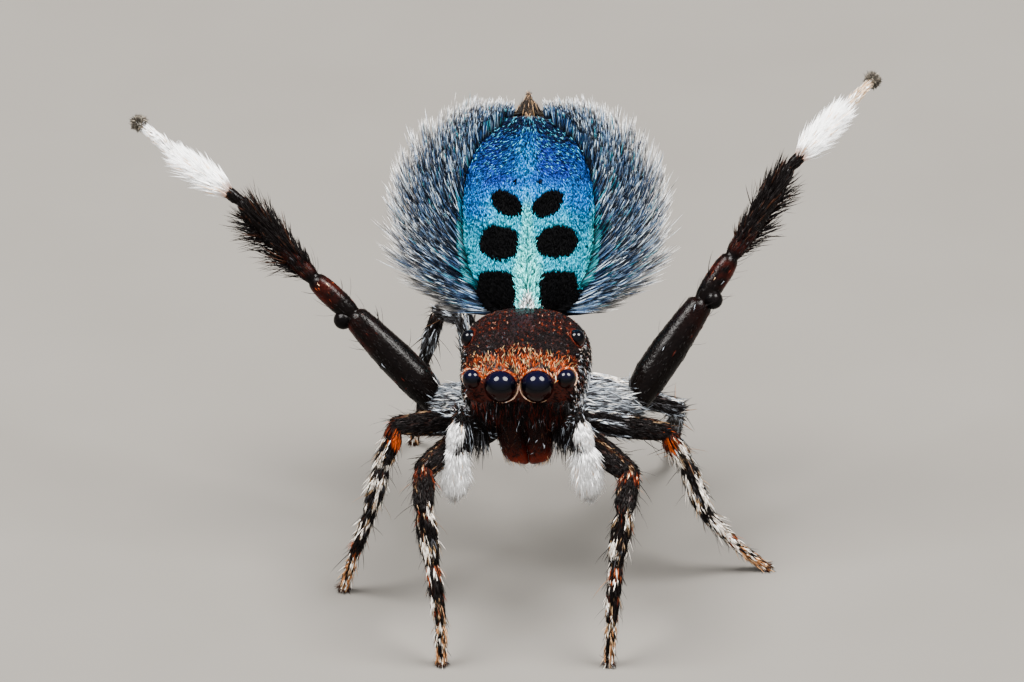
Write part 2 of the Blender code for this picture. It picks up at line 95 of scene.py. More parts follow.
POSES = {
    (1, "right"): ((238, 3), (270, -30), (300, -72), (290, -67), (285, None)),
    (1, "left"): ((306, -2), (262, -23), (240, -73), (255, -72), (250, None)),
    (2, "right"): ((210, 11), (214, -66), (200, -75), (175, -72), (170, None)),
    (2, "left"): ((4, -13), (5, -60), (322, -64), (10, -52), (3, None)),
    (3, "right"): ((153, 38), (155, 36), (152, 39), (160, 30), (157, 34)),
    (3, "left"): ((38, 44), (41, 43), (43, 42), (34, 35), (48, 20)),
    (4, "right"): ((99, 13), (128, -16), (150, -74), (105, -78), (115, None)),
    (4, "left"): ((356, -17), (88, -38), (90, -44), (90, -52), (90, None)),
}
COXA_ROOT = 0.34
PROFILES = (
    ((0.0, 0.80), (0.45, 0.92), (0.85, 0.86), (1.0, 0.82)),
    ((0.0, 0.80), (0.22, 1.0), (0.50, 1.0), (0.80, 0.86), (1.0, 0.72)),
    ((0.0, 0.86), (0.35, 1.0), (0.70, 1.0), (1.0, 0.82)),
    ((0.0, 0.84), (0.25, 1.0), (0.65, 1.0), (1.0, 0.76)),
    ((0.0, 1.0), (0.45, 1.0), (1.0, 0.86)),
    ((0.0, 0.92), (0.40, 1.0), (0.80, 0.96), (1.0, 0.90)),
)
PALP_ROOT = (0.34, -0.66, -0.34)
PALP_ELBOW = (0.66, -1.00, 0.06)
PALP_WRIST = (0.73, -1.12, -0.22)
PALP_TIP = (0.775, -1.12, -0.84)
PALP_ARM_HALF_WIDTH = 0.095
PALP_CORE_HALF_WIDTH = 0.088
CHELICERA_LENGTH = 0.74
CHELICERA_WIDTH = 0.30
CHELICERA_DEPTH = 0.30
CHELICERA_FRONT = -0.80
CHELICERA_HIGH = 0.12
CHELICERA_LEAN = 0.07
ABDOMEN_FOOT = (0.03, 1.16, 2.62)
ABDOMEN_LEAN = 13.0
PLATE_LENGTH = 2.40
PLATE_HALF_WIDTH = 0.80
PLATE_ROUNDNESS = 2.4
ABDOMEN_DEPTH = 0.85
FRONT_BULGE = 0.12
SPINNERET_LENGTH = 0.26
SPINNERET_RADIUS = 0.13
PEDICEL_RADIUS = 0.11
GAP = 0.025
FLAP_SETBACK = 0.05
FRINGE_TURNS = (-66, -45, -20, 5, 28, 48, 66, 80)
FRINGE_LENGTHS = (0.50, 0.49, 0.49, 0.42, 0.36, 0.28, 0.20, 0.14)
FLAP_WIDTHS = (0.10, 0.22, 0.52, 0.62, 0.38, 0.20, 0.09, 0.05)
TUFT_TURN = 4.0
# Direction of the fan's hair, from sideways upwards, by height on the plate
FAN_HEIGHTS = (0.0, 0.2, 0.5, 0.8, 1.2, 1.6, 2.0, 2.3, 2.5)
FAN_AIMS = (11, 19, 35, 49, 62, 74, 83, 92, 97)

# Points round each skin, and how far it lies inside the solid that it replaces
HEAD_SIDES, HEAD_INSET = 96, 0.02
JAW_SIDES, JAW_INSET = 48, 0.001
BALL_SIDES, BALL_RINGS = 64, 44
PLATE_SIDES, PLATE_RINGS, PLATE_INSET = 140, 90, 0.012
LIMB_SIDES, LIMB_STEP = 24, 0.028
LEG_INSET, RAISED_LEG_INSET, PALP_INSET, TAIL_INSET, WAIST_INSET = 0.022, 0.008, 0.012, 0.02, 0.01

# Hairs, scales and bristles in each coat
HAIRS = {
    "carapace": 14700, "underside": 3000, "face": 1300, "jaw front": 170, "jaw side": 60,
    "plate": 20800, "spots": 20000, "corners": 900, "rim": 2300, "foot tuft": 260, "belly": 6900,
    "fan front": 11000, "fan back": 3700, "tail tufts": 620, "spinnerets": 1100,
    "walking leg": 4700, "stray": 380, "bristles": 26, "claws": 180, "raised claws": 150,
    "foot ball": 640, "femur": 800, "leg base": 900, "comb": 300, "tibia": 800, "brush": 2300,
    "palp arm": 1200, "palp inner": 800, "palp upper": 1700, "palp lower": 4400,
}
RIM_HAIRS_A_MILLIMETRE = 3400

# Colours, linear
BLACK = (0.0028, 0.0020, 0.0020)
VELVET = (0.0006, 0.0006, 0.0008)
BROWN = (0.026, 0.009, 0.004)
EARTH = (0.022, 0.016, 0.013)
SOOT = (0.0014, 0.0010, 0.0010)
DARK_RED = (0.024, 0.0030, 0.0012)
RED_BROWN = (0.050, 0.006, 0.0025)
RUST = (0.090, 0.013, 0.0035)
ORANGE = (0.28, 0.040, 0.0035)
CREAM = (0.66, 0.42, 0.24)
OLIVE = (0.24, 0.16, 0.07)
BEIGE = (0.42, 0.25, 0.13)
TAN = (0.20, 0.125, 0.065)
PALE = (0.82, 0.75, 0.66)
WHITE = (0.96, 0.96, 0.95)
SILVER = (0.34, 0.38, 0.43)
GREY = (0.040, 0.040, 0.044)
TURQUOISE = (0.001, 0.31, 0.44)
AZURE = (0.003, 0.20, 0.58)
ROYAL = (0.002, 0.034, 0.18)
VIOLET = (0.009, 0.020, 0.24)
NAVY = (0.002, 0.007, 0.030)
MINT = (0.10, 0.68, 0.64)
FACE_RED = (0.022, 0.0030, 0.0015)
ROSE = (0.60, 0.36, 0.28)
STREAK_BLUE = (0.002, 0.22, 0.58)
RIM_TEAL = (0.03, 0.40, 0.42)
GLINT_CYAN = (0.10, 0.58, 0.82)
FOOT_WHITE = (0.78, 0.76, 0.74)

# Hair shapes: place along the hair, then share of its width there; each ends in a point
SCALE = ((0.0, 0.60), (0.45, 1.0))
HAIR = ((0.0, 0.75), (0.50, 1.0))
LONG_HAIR = ((0.0, 0.80), (0.35, 1.0), (0.72, 0.72))
FAN_HAIR = ((0.0, 0.85), (0.40, 1.0), (0.78, 0.80))
BRISTLE = ((0.0, 1.0), (0.25, 0.95), (0.50, 0.80), (0.75, 0.55))
PATCH = 0.003


def unit(vectors):
    """The same directions with the length one."""
    return vectors / np.linalg.norm(vectors, axis=-1, keepdims=True)


def ease(low, high, values):
    """0 below low, 1 above high and smooth between them."""
    part = np.clip((values - low) / (high - low), 0.0, 1.0)
    return part * part * (3.0 - 2.0 * part)


def blend(first, second, part):
    """Mix of two colours or directions, with the given part of the second."""
    part = np.asarray(part)[..., None]
    return np.asarray(first) * (1.0 - part) + np.asarray(second) * part


def places(x, y, z):
    """Places or directions from their three parts, of which any may be one number for all."""
    return np.stack(np.broadcast_arrays(x, y, z), axis=-1)


def shaded(tints, root=1.0):
    """Stops of hairs that have the share root of their colour where they start."""
    return (0.0, np.asarray(tints) * root), (1.0, tints)


def by_mark(*ramps):
    """Weight for rooting hair: the product of ramps over the marks along a limb."""

    def wanted(points, normals, marks):
        weight = np.ones(marks.shape)
        for low, high in ramps:
            weight = weight * ease(low, high, marks)
        return weight

    return wanted


def loose_roots(place, across, up, normal=(0.0, -1.0, 0.0)):
    """Roots that lie on no skin's grid; across and up are their places on the unwrap."""
    return SimpleNamespace(
        place=place,
        normal=np.broadcast_to(normal, place.shape),
        spread=np.stack(np.broadcast_arrays(across, up), axis=1),
    )


def mottle(points, size, seed):
    """Soft patches from 0 to 1 over places, each about one size across."""
    draw = np.random.default_rng(seed)
    waves = unit(draw.normal(size=(9, 3))) * draw.uniform(0.6, 1.6, (9, 1)) * (2 * math.pi / size)
    total = np.sin(points @ waves.T + draw.uniform(0, 2 * math.pi, 9)).sum(axis=-1)
    return np.clip(0.5 + total / 6.0, 0.0, 1.0)


def carried(matrix, points):
    """Places moved and turned by a matrix."""
    return points @ np.array(matrix.to_3x3()).T + np.array(matrix.translation)


def head_matrix():
    """Place and turn of the head's frame in the part's frame."""
    turn = Matrix.Rotation(math.radians(HEAD_TURN), 4, "Z")
    pitch = Matrix.Rotation(math.radians(HEAD_PITCH), 4, "X")
    roll = Matrix.Rotation(math.radians(HEAD_ROLL), 4, "Y")
    return Matrix.Translation((0.0, 0.0, BODY_HEIGHT)) @ turn @ pitch @ roll


def model_shift():
    """Metres from this script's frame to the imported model's, read off one eye."""
    side, place, height, _ = EYES["eye_front_middle"]
    low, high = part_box("eye_front_middle_left")
    return np.array((low + high) / 2) - np.array(HEAD @ Vector((side, place, height))) * MM


HEAD = head_matrix()
ABDOMEN = Matrix.Translation(ABDOMEN_FOOT) @ Matrix.Rotation(math.radians(-ABDOMEN_LEAN), 4, "X")
SHIFT = model_shift()


def add_piece(name, points, triangles, finish, tints=None, patches=None):
    """Smooth mesh from places in millimetres that rides on the model's one body."""
    mesh = bpy.data.meshes.new(name)
    mesh.vertices.add(len(points))
    mesh.vertices.foreach_set("co", (points * MM + SHIFT).astype(np.float32).ravel())
    mesh.loops.add(triangles.size)
    mesh.loops.foreach_set("vertex_index", triangles.astype(np.int32).ravel())
    mesh.polygons.add(len(triangles))
    mesh.polygons.foreach_set("loop_start", np.arange(0, triangles.size, 3, dtype=np.int32))
    mesh.update(calc_edges=True)
    mesh.shade_smooth()
    if tints is not None:
        colours = mesh.attributes.new("tint", "FLOAT_COLOR", "POINT")
        rgba = np.ones((len(points), 4), np.float32)
        rgba[:, :3] = np.clip(tints, 0.0, 1.0)
        colours.data.foreach_set("color", rgba.ravel())
    if patches is not None:
        layer = mesh.uv_layers.new(name="OFBake")
        layer.data.foreach_set("uv", patches[triangles.ravel()].astype(np.float32).ravel())
    mesh.materials.append(finish)
    piece = bpy.data.objects.new(name, mesh)
    bpy.context.scene.collection.objects.link(piece)
    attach(piece, "root")
    return piece


class Skin:
    """Grid of places along and around a closed body, for its mesh and for rooting hair."""

    def __init__(self, rings, marks=None):
        self.points = np.asarray(rings, float)
        ahead = np.gradient(self.points, axis=0)
        beside = np.roll(self.points, -1, axis=1) - np.roll(self.points, 1, axis=1)
        self.along = unit(ahead)
        self.normals = unit(np.cross(beside, ahead))
        outward = self.points - self.points.mean(axis=1, keepdims=True)
        if (outward * self.normals).sum() < 0:
            self.normals = -self.normals
            self.points = self.points[:, ::-1]
            self.normals = self.normals[:, ::-1]
            self.along = self.along[:, ::-1]
        self.marks = np.linspace(0, 1, len(rings)) if marks is None else np.asarray(marks, float)

    def roots(self, count, draw, wanted=None):
        """Random places spread evenly over the skin, or as the function wanted weighs it."""
        here, beside = self.points, np.roll(self.points, -1, axis=1)
        side, ahead = beside[:-1] - here[:-1], here[1:] - here[:-1]
        area = np.linalg.norm(np.cross(side, ahead), axis=-1)
        if wanted is not None:
            marks = np.broadcast_to(self.marks[:-1, None], area.shape)
            area = area * wanted((here[:-1] + beside[1:]) / 2, self.normals[:-1], marks)
        rows, columns = area.shape
        row, column = np.divmod(draw.choice(area.size, count, p=(area / area.sum()).ravel()), columns)
        up, over = draw.random((2, count))
        after = (column + 1) % columns

        def between(field):
            low = blend(field[row, column], field[row, after], over)
            high = blend(field[row + 1, column], field[row + 1, after], over)
            return blend(low, high, up)

        normal = unit(between(self.normals))
        along = between(self.along)
        along = unit(along - normal * (along * normal).sum(-1, keepdims=True))
        mark = self.marks[row] * (1 - up) + self.marks[row + 1] * up
        spread = np.stack(((column + over) / columns, (row + up) / rows), axis=1)
        return SimpleNamespace(
            place=between(self.points), normal=normal, along=along, mark=mark, spread=spread
        )

    def add(self, name, finish, slot, tint, matrix=None):
        """Closed mesh of the skin; tint gives its colours from places, normals and marks."""
        rows, columns = self.points.shape[:2]
        ids = np.arange(rows * columns).reshape(rows, columns)
        beside = np.roll(ids, -1, axis=1)
        a, b, c, d = (grid.ravel() for grid in (ids[:-1], beside[:-1], beside[1:], ids[1:]))
        foot, tip = rows * columns, rows * columns + 1
        triangles = [
            np.stack((a, b, c), 1),
            np.stack((a, c, d), 1),
            np.stack((beside[0], ids[0], np.full(columns, foot)), 1),
            np.stack((ids[-1], beside[-1], np.full(columns, tip)), 1),
        ]
        grid = self.points.reshape(-1, 3)
        points = np.vstack((grid, self.points[0].mean(axis=0), self.points[-1].mean(axis=0)))
        normals = np.vstack((self.normals.reshape(-1, 3), -self.along[0, 0], self.along[-1, 0]))
        marks = np.concatenate((np.repeat(self.marks, columns), self.marks[[0, -1]]))
        tints = tint(points, normals, marks)
        placed = points if matrix is None else carried(matrix, points)
        return add_piece(name, placed, np.vstack(triangles), finish, tints)


def plain(colour):
    """Colours for a skin of one mean colour with soft patches of lighter and darker."""

    def tint(points, normals, marks):
        return np.asarray(colour) * (0.6 + 0.8 * mottle(points, 0.16, 5))[:, None]

    return tint


def tint_at(stops, place, count):
    """Colours of all hairs at one place along them, from (place, colours) stops."""
    colour = stops[-1][1]
    for (low, first), (high, second) in zip(stops, stops[1:]):
        if place <= high:
            part = max(0.0, (place - low) / (high - low))
            colour = np.asarray(first) * (1 - part) + np.asarray(second) * part
            break
    return np.broadcast_to(colour, (count, 3))


class Coat:
    """Tufts of one piece: thin closed blades of three sides that end in a point."""

    def __init__(self, seed):
        self.draw = np.random.default_rng([SEED, *seed.encode()])
        self.points, self.triangles, self.tints, self.patches, self.count = [], [], [], [], 0

    def grow(self, roots, way, stops, length, width, lift=20.0, spread=12.0, curl=-0.2, roll=25.0,
             flatness=0.45, shape=HAIR, lie_flat=True, vary=0.2, matrix=None):
        """Add a hair at each root. Way is the lie of the coat, lift its angle off the skin."""
        draw, count = self.draw, len(roots.place)
        way = np.broadcast_to(way, (count, 3))
        if lie_flat:
            way = unit(way - roots.normal * (way * roots.normal).sum(-1, keepdims=True))
            across = np.cross(roots.normal, way)
            turn = np.radians(draw.normal(0, spread, count))[:, None]
            way = way * np.cos(turn) + across * np.sin(turn)
            rise = np.radians(lift * (1 + draw.normal(0, 0.25, count)))[:, None]
            way = way * np.cos(rise) + roots.normal * np.sin(rise)
        else:
            way = unit(way + draw.normal(0, math.radians(spread), (count, 3)))
        across = unit(np.cross(roots.normal, way))
        face = np.cross(way, across)
        turn = np.radians(draw.normal(0, roll, count))[:, None]
        across, face_bent = across * np.cos(turn) + face * np.sin(turn), face
        face = np.cross(way, across)
        reach = (length * (1 + draw.normal(0, vary, count)).clip(0.45, 1.6))[:, None]
        half = (np.broadcast_to(width, count) / 2 * draw.uniform(0.8, 1.2, count))[:, None]
        base = roots.place - way * reach * 0.06
        corners, tints, patches = [], [], []
        for place, share in shape + ((1.0, None),):
            centre = base + way * (reach * place) + face_bent * (reach * curl * place ** 2)
            tint = tint_at(stops, place, count)
            if share is None:
                corners.append(centre)
                tints.append(tint)
                patches.append(roots.spread * (1 - PATCH) + (PATCH / 2, PATCH))
                continue
            for index, angle in enumerate((90, 210, 330)):
                sideways = across * (half * share * math.cos(math.radians(angle)) * 1.15)
                outwards = face * (half * share * flatness * math.sin(math.radians(angle)))
                corners.append(centre + sideways + outwards)
                tints.append(tint)
                patches.append(roots.spread * (1 - PATCH) + (PATCH * index / 2, PATCH * place))
        size = len(corners)
        self.points.append(np.stack(corners, 1).reshape(-1, 3))
        if matrix is not None:
            self.points[-1] = carried(matrix, self.points[-1])
        self.tints.append(np.stack(tints, 1).reshape(-1, 3))
        self.patches.append(np.stack(patches, 1).reshape(-1, 2))
        self.triangles.append(self.count + (np.arange(count) * size)[:, None, None] + blade(len(shape)))
        self.count += count * size

    def cover(self, skin, count, mix, length, width, wanted=None, root=1.0, way=None, **lie):
        """Grow a layer of hair of mixed colours over a skin, along it or the way given."""
        roots = skin.roots(count, self.draw, wanted)
        tints = pick(self.draw, count, mix)
        way = roots.along if way is None else way
        self.grow(roots, way, shaded(tints, root), length, width, **lie)

    def add(self, name, finish, slot):
        triangles = np.vstack([part.reshape(-1, 3) for part in self.triangles])
        points, tints, patches = (np.vstack(part) for part in (self.points, self.tints, self.patches))
        return add_piece(name, points, triangles, finish, tints, patches)


def blade(stations):
    """Triangles of one hair: its root's cap, its three sides and its point."""
    faces = [(2, 1, 0)]
    for station in range(stations - 1):
        for side in range(3):
            a, b = 3 * station + side, 3 * station + (side + 1) % 3
            faces += [(a, b, b + 3), (a, b + 3, a + 3)]
    top = 3 * (stations - 1)
    faces += [(top + side, top + (side + 1) % 3, top + 3) for side in range(3)]
    return np.array(faces)


def pick(draw, count, mix, clumps=None):
    """One colour for each hair, from (share, colour) pairs; clumps make neighbours alike."""
    shares, colours = zip(*mix)
    chance = draw.random(count)
    if clumps is not None:
        chance = np.argsort(np.argsort(chance * 0.30 + clumps * 0.70)) / max(1, count)
    chosen = np.searchsorted(np.cumsum(shares) / sum(shares), chance).clip(0, len(mix) - 1)
    return np.array(colours)[chosen] * np.exp(draw.normal(0, 0.22, count))[:, None]


def set_inputs(node, **values):
    """Set a node's sockets; an underscore stands for each space in a socket's name."""
    for name, value in values.items():
        node.inputs[name.replace("_", " ")].default_value = value


def make_finish(name, roughness, metallic, specular, sheen, grain, depth, variation):
    """Material that takes its colour from the mesh's tints, mottled by noise of the grain's size."""
    material = bpy.data.materials.new(name)
    material.use_nodes = True
    nodes, links = material.node_tree.nodes, material.node_tree.links
    shader = nodes["Principled BSDF"]
    set_inputs(shader, Metallic=metallic, Specular_IOR_Level=specular, Sheen_Weight=sheen)
    tint = nodes.new("ShaderNodeAttribute")
    tint.attribute_name = "tint"
    place = nodes.new("ShaderNodeTexCoord")
    noise = nodes.new("ShaderNodeTexNoise")
    set_inputs(noise, Scale=1.0 / (grain * MM), Detail=3.0)
    links.new(place.outputs["Object"], noise.inputs["Vector"])
    shade = nodes.new("ShaderNodeMapRange")
    set_inputs(shade, From_Min=0.3, From_Max=0.7, To_Min=1.0 - variation, To_Max=1.0 + variation)
    links.new(noise.outputs["Fac"], shade.inputs["Value"])
    mixed = nodes.new("ShaderNodeMix")
    mixed.data_type = "RGBA"
    mixed.blend_type = "MULTIPLY"
    set_inputs(mixed, Factor=1.0)
    links.new(tint.outputs["Color"], mixed.inputs["A"])
    links.new(shade.outputs["Result"], mixed.inputs["B"])
    links.new(mixed.outputs["Result"], shader.inputs["Base Color"])
    dull = nodes.new("ShaderNodeMapRange")
    set_inputs(dull, To_Min=max(0.03, roughness - 0.12), To_Max=min(1.0, roughness + 0.12))
    links.new(noise.outputs["Fac"], dull.inputs["Value"])
    links.new(dull.outputs["Result"], shader.inputs["Roughness"])
    if depth:
        bump = nodes.new("ShaderNodeBump")
        set_inputs(bump, Distance=depth * MM)
        links.new(noise.outputs["Fac"], bump.inputs["Height"])
        links.new(bump.outputs["Normal"], shader.inputs["Normal"])
    return material


# Roughness, metallic share, specular level, sheen, grain of the noise, bump depth, variation
FINISHES = {name: make_finish(name, *values) for name, values in {
    "chitin": (0.36, 0.0, 0.12, 0.0, 0.030, 0.006, 0.35),
    "gloss": (0.22, 0.0, 0.06, 0.0, 0.030, 0.005, 0.35),
    "flesh": (0.65, 0.0, 0.15, 0.0, 0.020, 0.008, 0.40),
    "plate": (0.50, 0.0, 0.20, 0.0, 0.018, 0.008, 0.50),
    "velvet": (0.90, 0.0, 0.04, 0.0, 0.020, 0.0, 0.30),
    "white_hair": (0.50, 0.0, 0.30, 0.5, 0.050, 0.0, 0.05),
    "hair": (0.42, 0.0, 0.075, 0.0, 0.030, 0.0, 0.25),
    "scales": (0.40, 0.65, 0.15, 0.0, 0.020, 0.0, 0.25),
    "rust_scales": (0.42, 0.0, 0.035, 0.0, 0.020, 0.0, 0.30),
    "fringe_hair": (0.36, 0.15, 0.22, 0.0, 0.030, 0.0, 0.20),
    "eye": (0.03, 0.0, 0.15, 0.0, 0.050, 0.0, 0.15),
}.items()}


def smooth_stations(stations, steps):
    """Stations between the named ones, on a smooth curve through them."""
    named = np.array(stations, float)
    padded = np.vstack((2 * named[0] - named[1], named, 2 * named[-1] - named[-2]))
    found = []
    for index in range(1, len(padded) - 2):
        before, start, end, after = padded[index - 1:index + 3]
        for step in range(steps):
            t = step / steps
            found.append(0.5 * (
                2 * start + (end - before) * t + (2 * before - 5 * start + 4 * end - after) * t ** 2
                + (3 * start - before - 3 * end + after) * t ** 3
            ))
    return np.vstack((found, named[-1]))


def closed_curve(sides, square):
    """Cosines and sines of a closed section, boxier as square grows above 2."""
    angle = 2 * math.pi * (np.arange(sides) + 0.5) / sides
    cosine, sine = np.cos(angle), np.sin(angle)
    power = 2 / square
    return np.sign(cosine) * np.abs(cosine) ** power, np.sign(sine) * np.abs(sine) ** power


def carapace_colour(points, normals, marks):
    """Skin of head and thorax: black with dark red-brown, more so on the face."""
    _, y, z = points.T
    face = ease(-0.80, -0.90, y) * ease(0.60, 0.40, z)
    tint = blend(BLACK, RED_BROWN, 0.02 + 0.12 * mottle(points, 0.3, 3))
    return blend(tint, FACE_RED, face * 0.85)


def carapace_hair(points, draw):
    """Colours of the scales on the carapace, by their places in the head's frame."""
    x, y, z = points.T
    count = len(x)
    out = np.abs(x)
    clumps = mottle(points, 0.07, 12)
    ragged = y + draw.normal(0, 0.02, count) + 0.10 * (mottle(points, 0.25, 9) - 0.5)
    brow = ease(-0.68, -0.76, ragged) * ease(0.40, 0.55, z)
    middle = ease(-0.46, -0.62, ragged) * ease(0.40, 0.55, z)
    grey = ease(0.10, 0.20, out) * ease(0.58, 0.46, out)
    grey = grey * ease(-0.68, -0.60, ragged) * ease(-0.28, -0.36, ragged)
    rear = ease(-0.36, -0.24, ragged) * ease(0.12, 0.20, out) * ease(0.62, 0.50, out)
    side = ease(0.56, 0.66, out) * ease(0.62, 0.45, z)
    areas = (
        (middle, ((0.52, BLACK), (0.18, RUST), (0.12, DARK_RED), (0.07, ORANGE), (0.04, BEIGE),
                  (0.07, OLIVE))),
        # the few pale pink scales of the rear are painted glints
        (rear, ((0.70, BLACK), (0.20, DARK_RED), (0.08, RUST), (0.02, (0.30, 0.14, 0.09)))),
        (grey, ((0.93, BLACK), (0.05, GREY), (0.02, RUST))),
        (brow, ((0.20, ORANGE), (0.28, RUST), (0.05, BEIGE), (0.12, OLIVE), (0.12, DARK_RED),
                (0.23, BLACK))),
        (side, ((0.76, BLACK), (0.06, RUST), (0.08, SILVER), (0.10, (0.62, 0.50, 0.42)))),
    )
    tint = pick(draw, count, ((0.87, BLACK), (0.09, DARK_RED), (0.01, GREY), (0.03, RUST)), clumps)
    for area, mix in areas:
        chosen = draw.random(count) < area
        tint[chosen] = pick(draw, int(chosen.sum()), mix, clumps[chosen])
    return tint


def prosoma_skin():
    """Head and thorax in the head's frame, with rounded ends."""
    stations = (
        (-0.93, 0.56, 0.52, 0.16, 3.2),
        (-0.86, 0.64, 0.63, 0.10, 3.2),
        (-0.66, 0.69, 0.74, -0.14, 3.0),
        (-0.35, 0.72, 0.83, -0.45, 2.8),
        (0.00, 0.74, CARAPACE_TOP, -STERNUM_DEPTH, 2.6),
        (0.30, 0.75, 0.82, -STERNUM_DEPTH, 2.4),
        (0.58, 0.68, 0.60, -0.46, 2.2),
        (0.80, 0.50, 0.30, -0.34, 2.0),
        (0.95, 0.20, 0.06, -0.16, 2.0),
    )
    rings = []
    for y, half_width, top, bottom, square in smooth_stations(stations, 9):
        across, up = closed_curve(HEAD_SIDES, square)
        height = (top + bottom) / 2 + ((top - bottom) / 2 - HEAD_INSET) * up
        ring = places((half_width - HEAD_INSET) * across, y, height)
        below = np.clip(-0.05 - height, 0.0, None) / STERNUM_DEPTH
        ring[:, 0] *= 1.0 - 0.55 * np.minimum(1.0, below)
        rings.append(ring)
    front = [shrunk(rings[0], share, -0.006 * (1 - share ** 2)) for share in (0.25, 0.5, 0.72, 0.88)]
    back = [shrunk(rings[-1], share, 0.02 * (1 - share ** 2)) for share in (0.7, 0.3)]
    return Skin(front + rings + back)


def shrunk(ring, share, ahead=0.0, up=0.0):
    """Ring drawn in to a share of its size round its middle, and moved."""
    middle = ring.mean(axis=0)
    return middle + (ring - middle) * share + np.array((0.0, ahead, up))


def add_prosoma():
    """Head and thorax: one skin, scales above, hair below and over the jaws."""
    skin = prosoma_skin()
    piece = skin.add("skin_prosoma", FINISHES["chitin"], "carapace", carapace_colour, HEAD)
    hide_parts("prosoma")
    coat, under = Coat("carapace"), Coat("underside")
    grow_carapace(coat, skin)
    coat.add("coat_carapace", FINISHES["rust_scales"], "carapace")
    grow_underside(under, skin)
    grow_face_hair(under)
    under.add("coat_underside", FINISHES["hair"], "carapace")


def clear_of_eyes(points):
    """Weight of hair on the head: none on the eyes and less on the bare face."""
    free = np.ones(points.shape[:-1])
    for out, place, height, radius in EYES.values():
        for sign in SIDES.values():
            away = np.linalg.norm(points - np.array((sign * out, place, height)), axis=-1)
            free = free * (away > radius + 0.012)
    _, y, z = np.moveaxis(points, -1, 0)
    bare_face = ease(-0.82, -0.90, y) * ease(0.60, 0.46, z)
    return free * (1 - 0.55 * bare_face)


def grow_carapace(coat, skin):
    """Scales that lie backwards on top and downwards on the sides, longer on the brow."""

    def upper(points, normals, marks):
        x, y, z = np.moveaxis(points, -1, 0)
        fovea = ease(0.17, 0.07, np.abs(x)) * ease(-0.38, -0.24, y) * ease(0.60, 0.40, y)
        flank = ease(0.55, 0.68, np.abs(x)) * ease(0.60, 0.40, z)
        weight = clear_of_eyes(points) * ease(0.0, 0.25, z)
        return weight * (1 - 0.75 * fovea) * (1 - 0.55 * flank) + 1e-6

    roots = skin.roots(HAIRS["carapace"], coat.draw, upper)
    x, y, z = roots.place.T
    brow = ease(-0.55, -0.72, y) * ease(0.40, 0.55, z)
    side = ease(0.50, 0.66, np.abs(x)) * ease(0.66, 0.45, z)
    way = unit(blend(places(x * 0.25, 1.0, 0.0), (0.0, 0.35, -1.0), side))
    tints = carapace_hair(roots.place, coat.draw)
    stops = ((0.0, tints * 0.35), (0.5, tints), (1.0, np.minimum(tints * 1.3, 0.95)))
    length = 0.038 + 0.038 * brow + 0.040 * side
    coat.grow(roots, way, stops, length, 0.0104 - 0.002 * brow, lift=22.0, spread=24.0,
              shape=SCALE, matrix=HEAD)


def grow_underside(coat, skin):
    """Dark hair on the lower half, paler along the carapace's margin."""

    def lower(points, normals, marks):
        return clear_of_eyes(points) * ease(0.25, 0.0, points[..., 2])

    draw, count = coat.draw, HAIRS["underside"]
    roots = skin.roots(count, draw, lower)
    x, y, z = roots.place.T
    margin = ease(0.46, 0.60, np.abs(x)) * ease(-0.22, -0.05, z) * ease(-0.75, -0.55, y)
    pale = draw.random(count) < 0.05 + 0.75 * margin
    tints = pick(draw, count, ((0.75, BLACK), (0.25, BROWN)))
    tints[pale] = pick(draw, int(pale.sum()), ((0.6, WHITE), (0.4, SILVER)))
    coat.grow(roots, (0.0, 0.35, -1.0), shaded(tints, 0.5), 0.11, 0.011, lift=18.0, spread=14.0,
              matrix=HEAD)


def grow_face_hair(coat):
    """Dark hair that hangs from the face's lower edge over the jaws, with a few pale ones."""
    draw, count = coat.draw, HAIRS["face"]
    x = draw.uniform(-0.56, 0.56, count)
    z = draw.uniform(0.06, 0.24, count)
    roots = loose_roots(places(x, -0.925 - 0.02 * draw.random(count), z), 0.5 + 0.8 * x, z)
    tints = pick(draw, count, ((0.74, BLACK), (0.20, RED_BROWN), (0.04, GREY), (0.02, SILVER)))
    coat.grow(roots, unit(places(-0.25 * x, -0.12, -1.0)), shaded(tints, 0.5), 0.17, 0.009,
              lift=14.0, spread=16.0, curl=0.1, matrix=HEAD)


def add_eyes():
    """Eight glossy eyes, the front four with a rim of fine pale and rust hairs."""
    rims = Coat("rims")
    for kind, (out, place, height, radius) in EYES.items():
        for side, sign in SIDES.items():
            centre = np.array((sign * out, place, height))
            # share of the painted blue reflection on the eye's upper part: full on the front eyes, faint
            # on the rest
            blue = 1.0 if "front" in kind else 0.1
            piece = add_ball(f"ball_{kind}_{side}", centre, radius, blue)
            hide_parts(f"{kind}_{side}")
            if kind != "eye_middle_small":
                add_rim(rims, kind, centre, radius, sign)
    rims.add("coat_eye_rims", FINISHES["rust_scales"], "carapace")


def ball_skin(centre, radius):
    """Skin of a ball, with its poles at the front and the back."""
    turns = 2 * math.pi * np.arange(BALL_SIDES) / BALL_SIDES
    rings = []
    for lean in np.radians(np.linspace(-86, 86, BALL_RINGS)):
        flat = radius * math.cos(lean)
        rings.append(places(flat * np.cos(turns), -radius * math.sin(lean), flat * np.sin(turns)))
    return Skin(np.array(rings) + centre)


def add_ball(name, centre, radius, blue):
    """Near-black eye with a painted reflection: deep blue on its upper part and red-brown on its lower
    one.
    """

    def tint(points, normals, marks):
        height = (points[:, 2] - centre[2]) / radius
        # painted reflection: deep blue on the upper part, dark red-brown on the lower part
        painted_blue_reflection = blue * ease(0.25, 0.80, height)
        upper = blend((0.0004, 0.0004, 0.0008), (0.0006, 0.0006, 0.0052), painted_blue_reflection)
        return blend((0.0055, 0.0009, 0.0007), upper, ease(-0.10, 0.12, height))

    return ball_skin(centre, radius).add(name, FINISHES["eye"], "eye", tint, HEAD)


# Direction that each rimmed eye looks in, on the left side
OUTLOOKS = {
    "eye_front_middle": (0.05, -1.0, 0.06),
    "eye_front_side": (0.40, -0.90, 0.12),
    "eye_rear": (0.80, -0.20, 0.55),
}


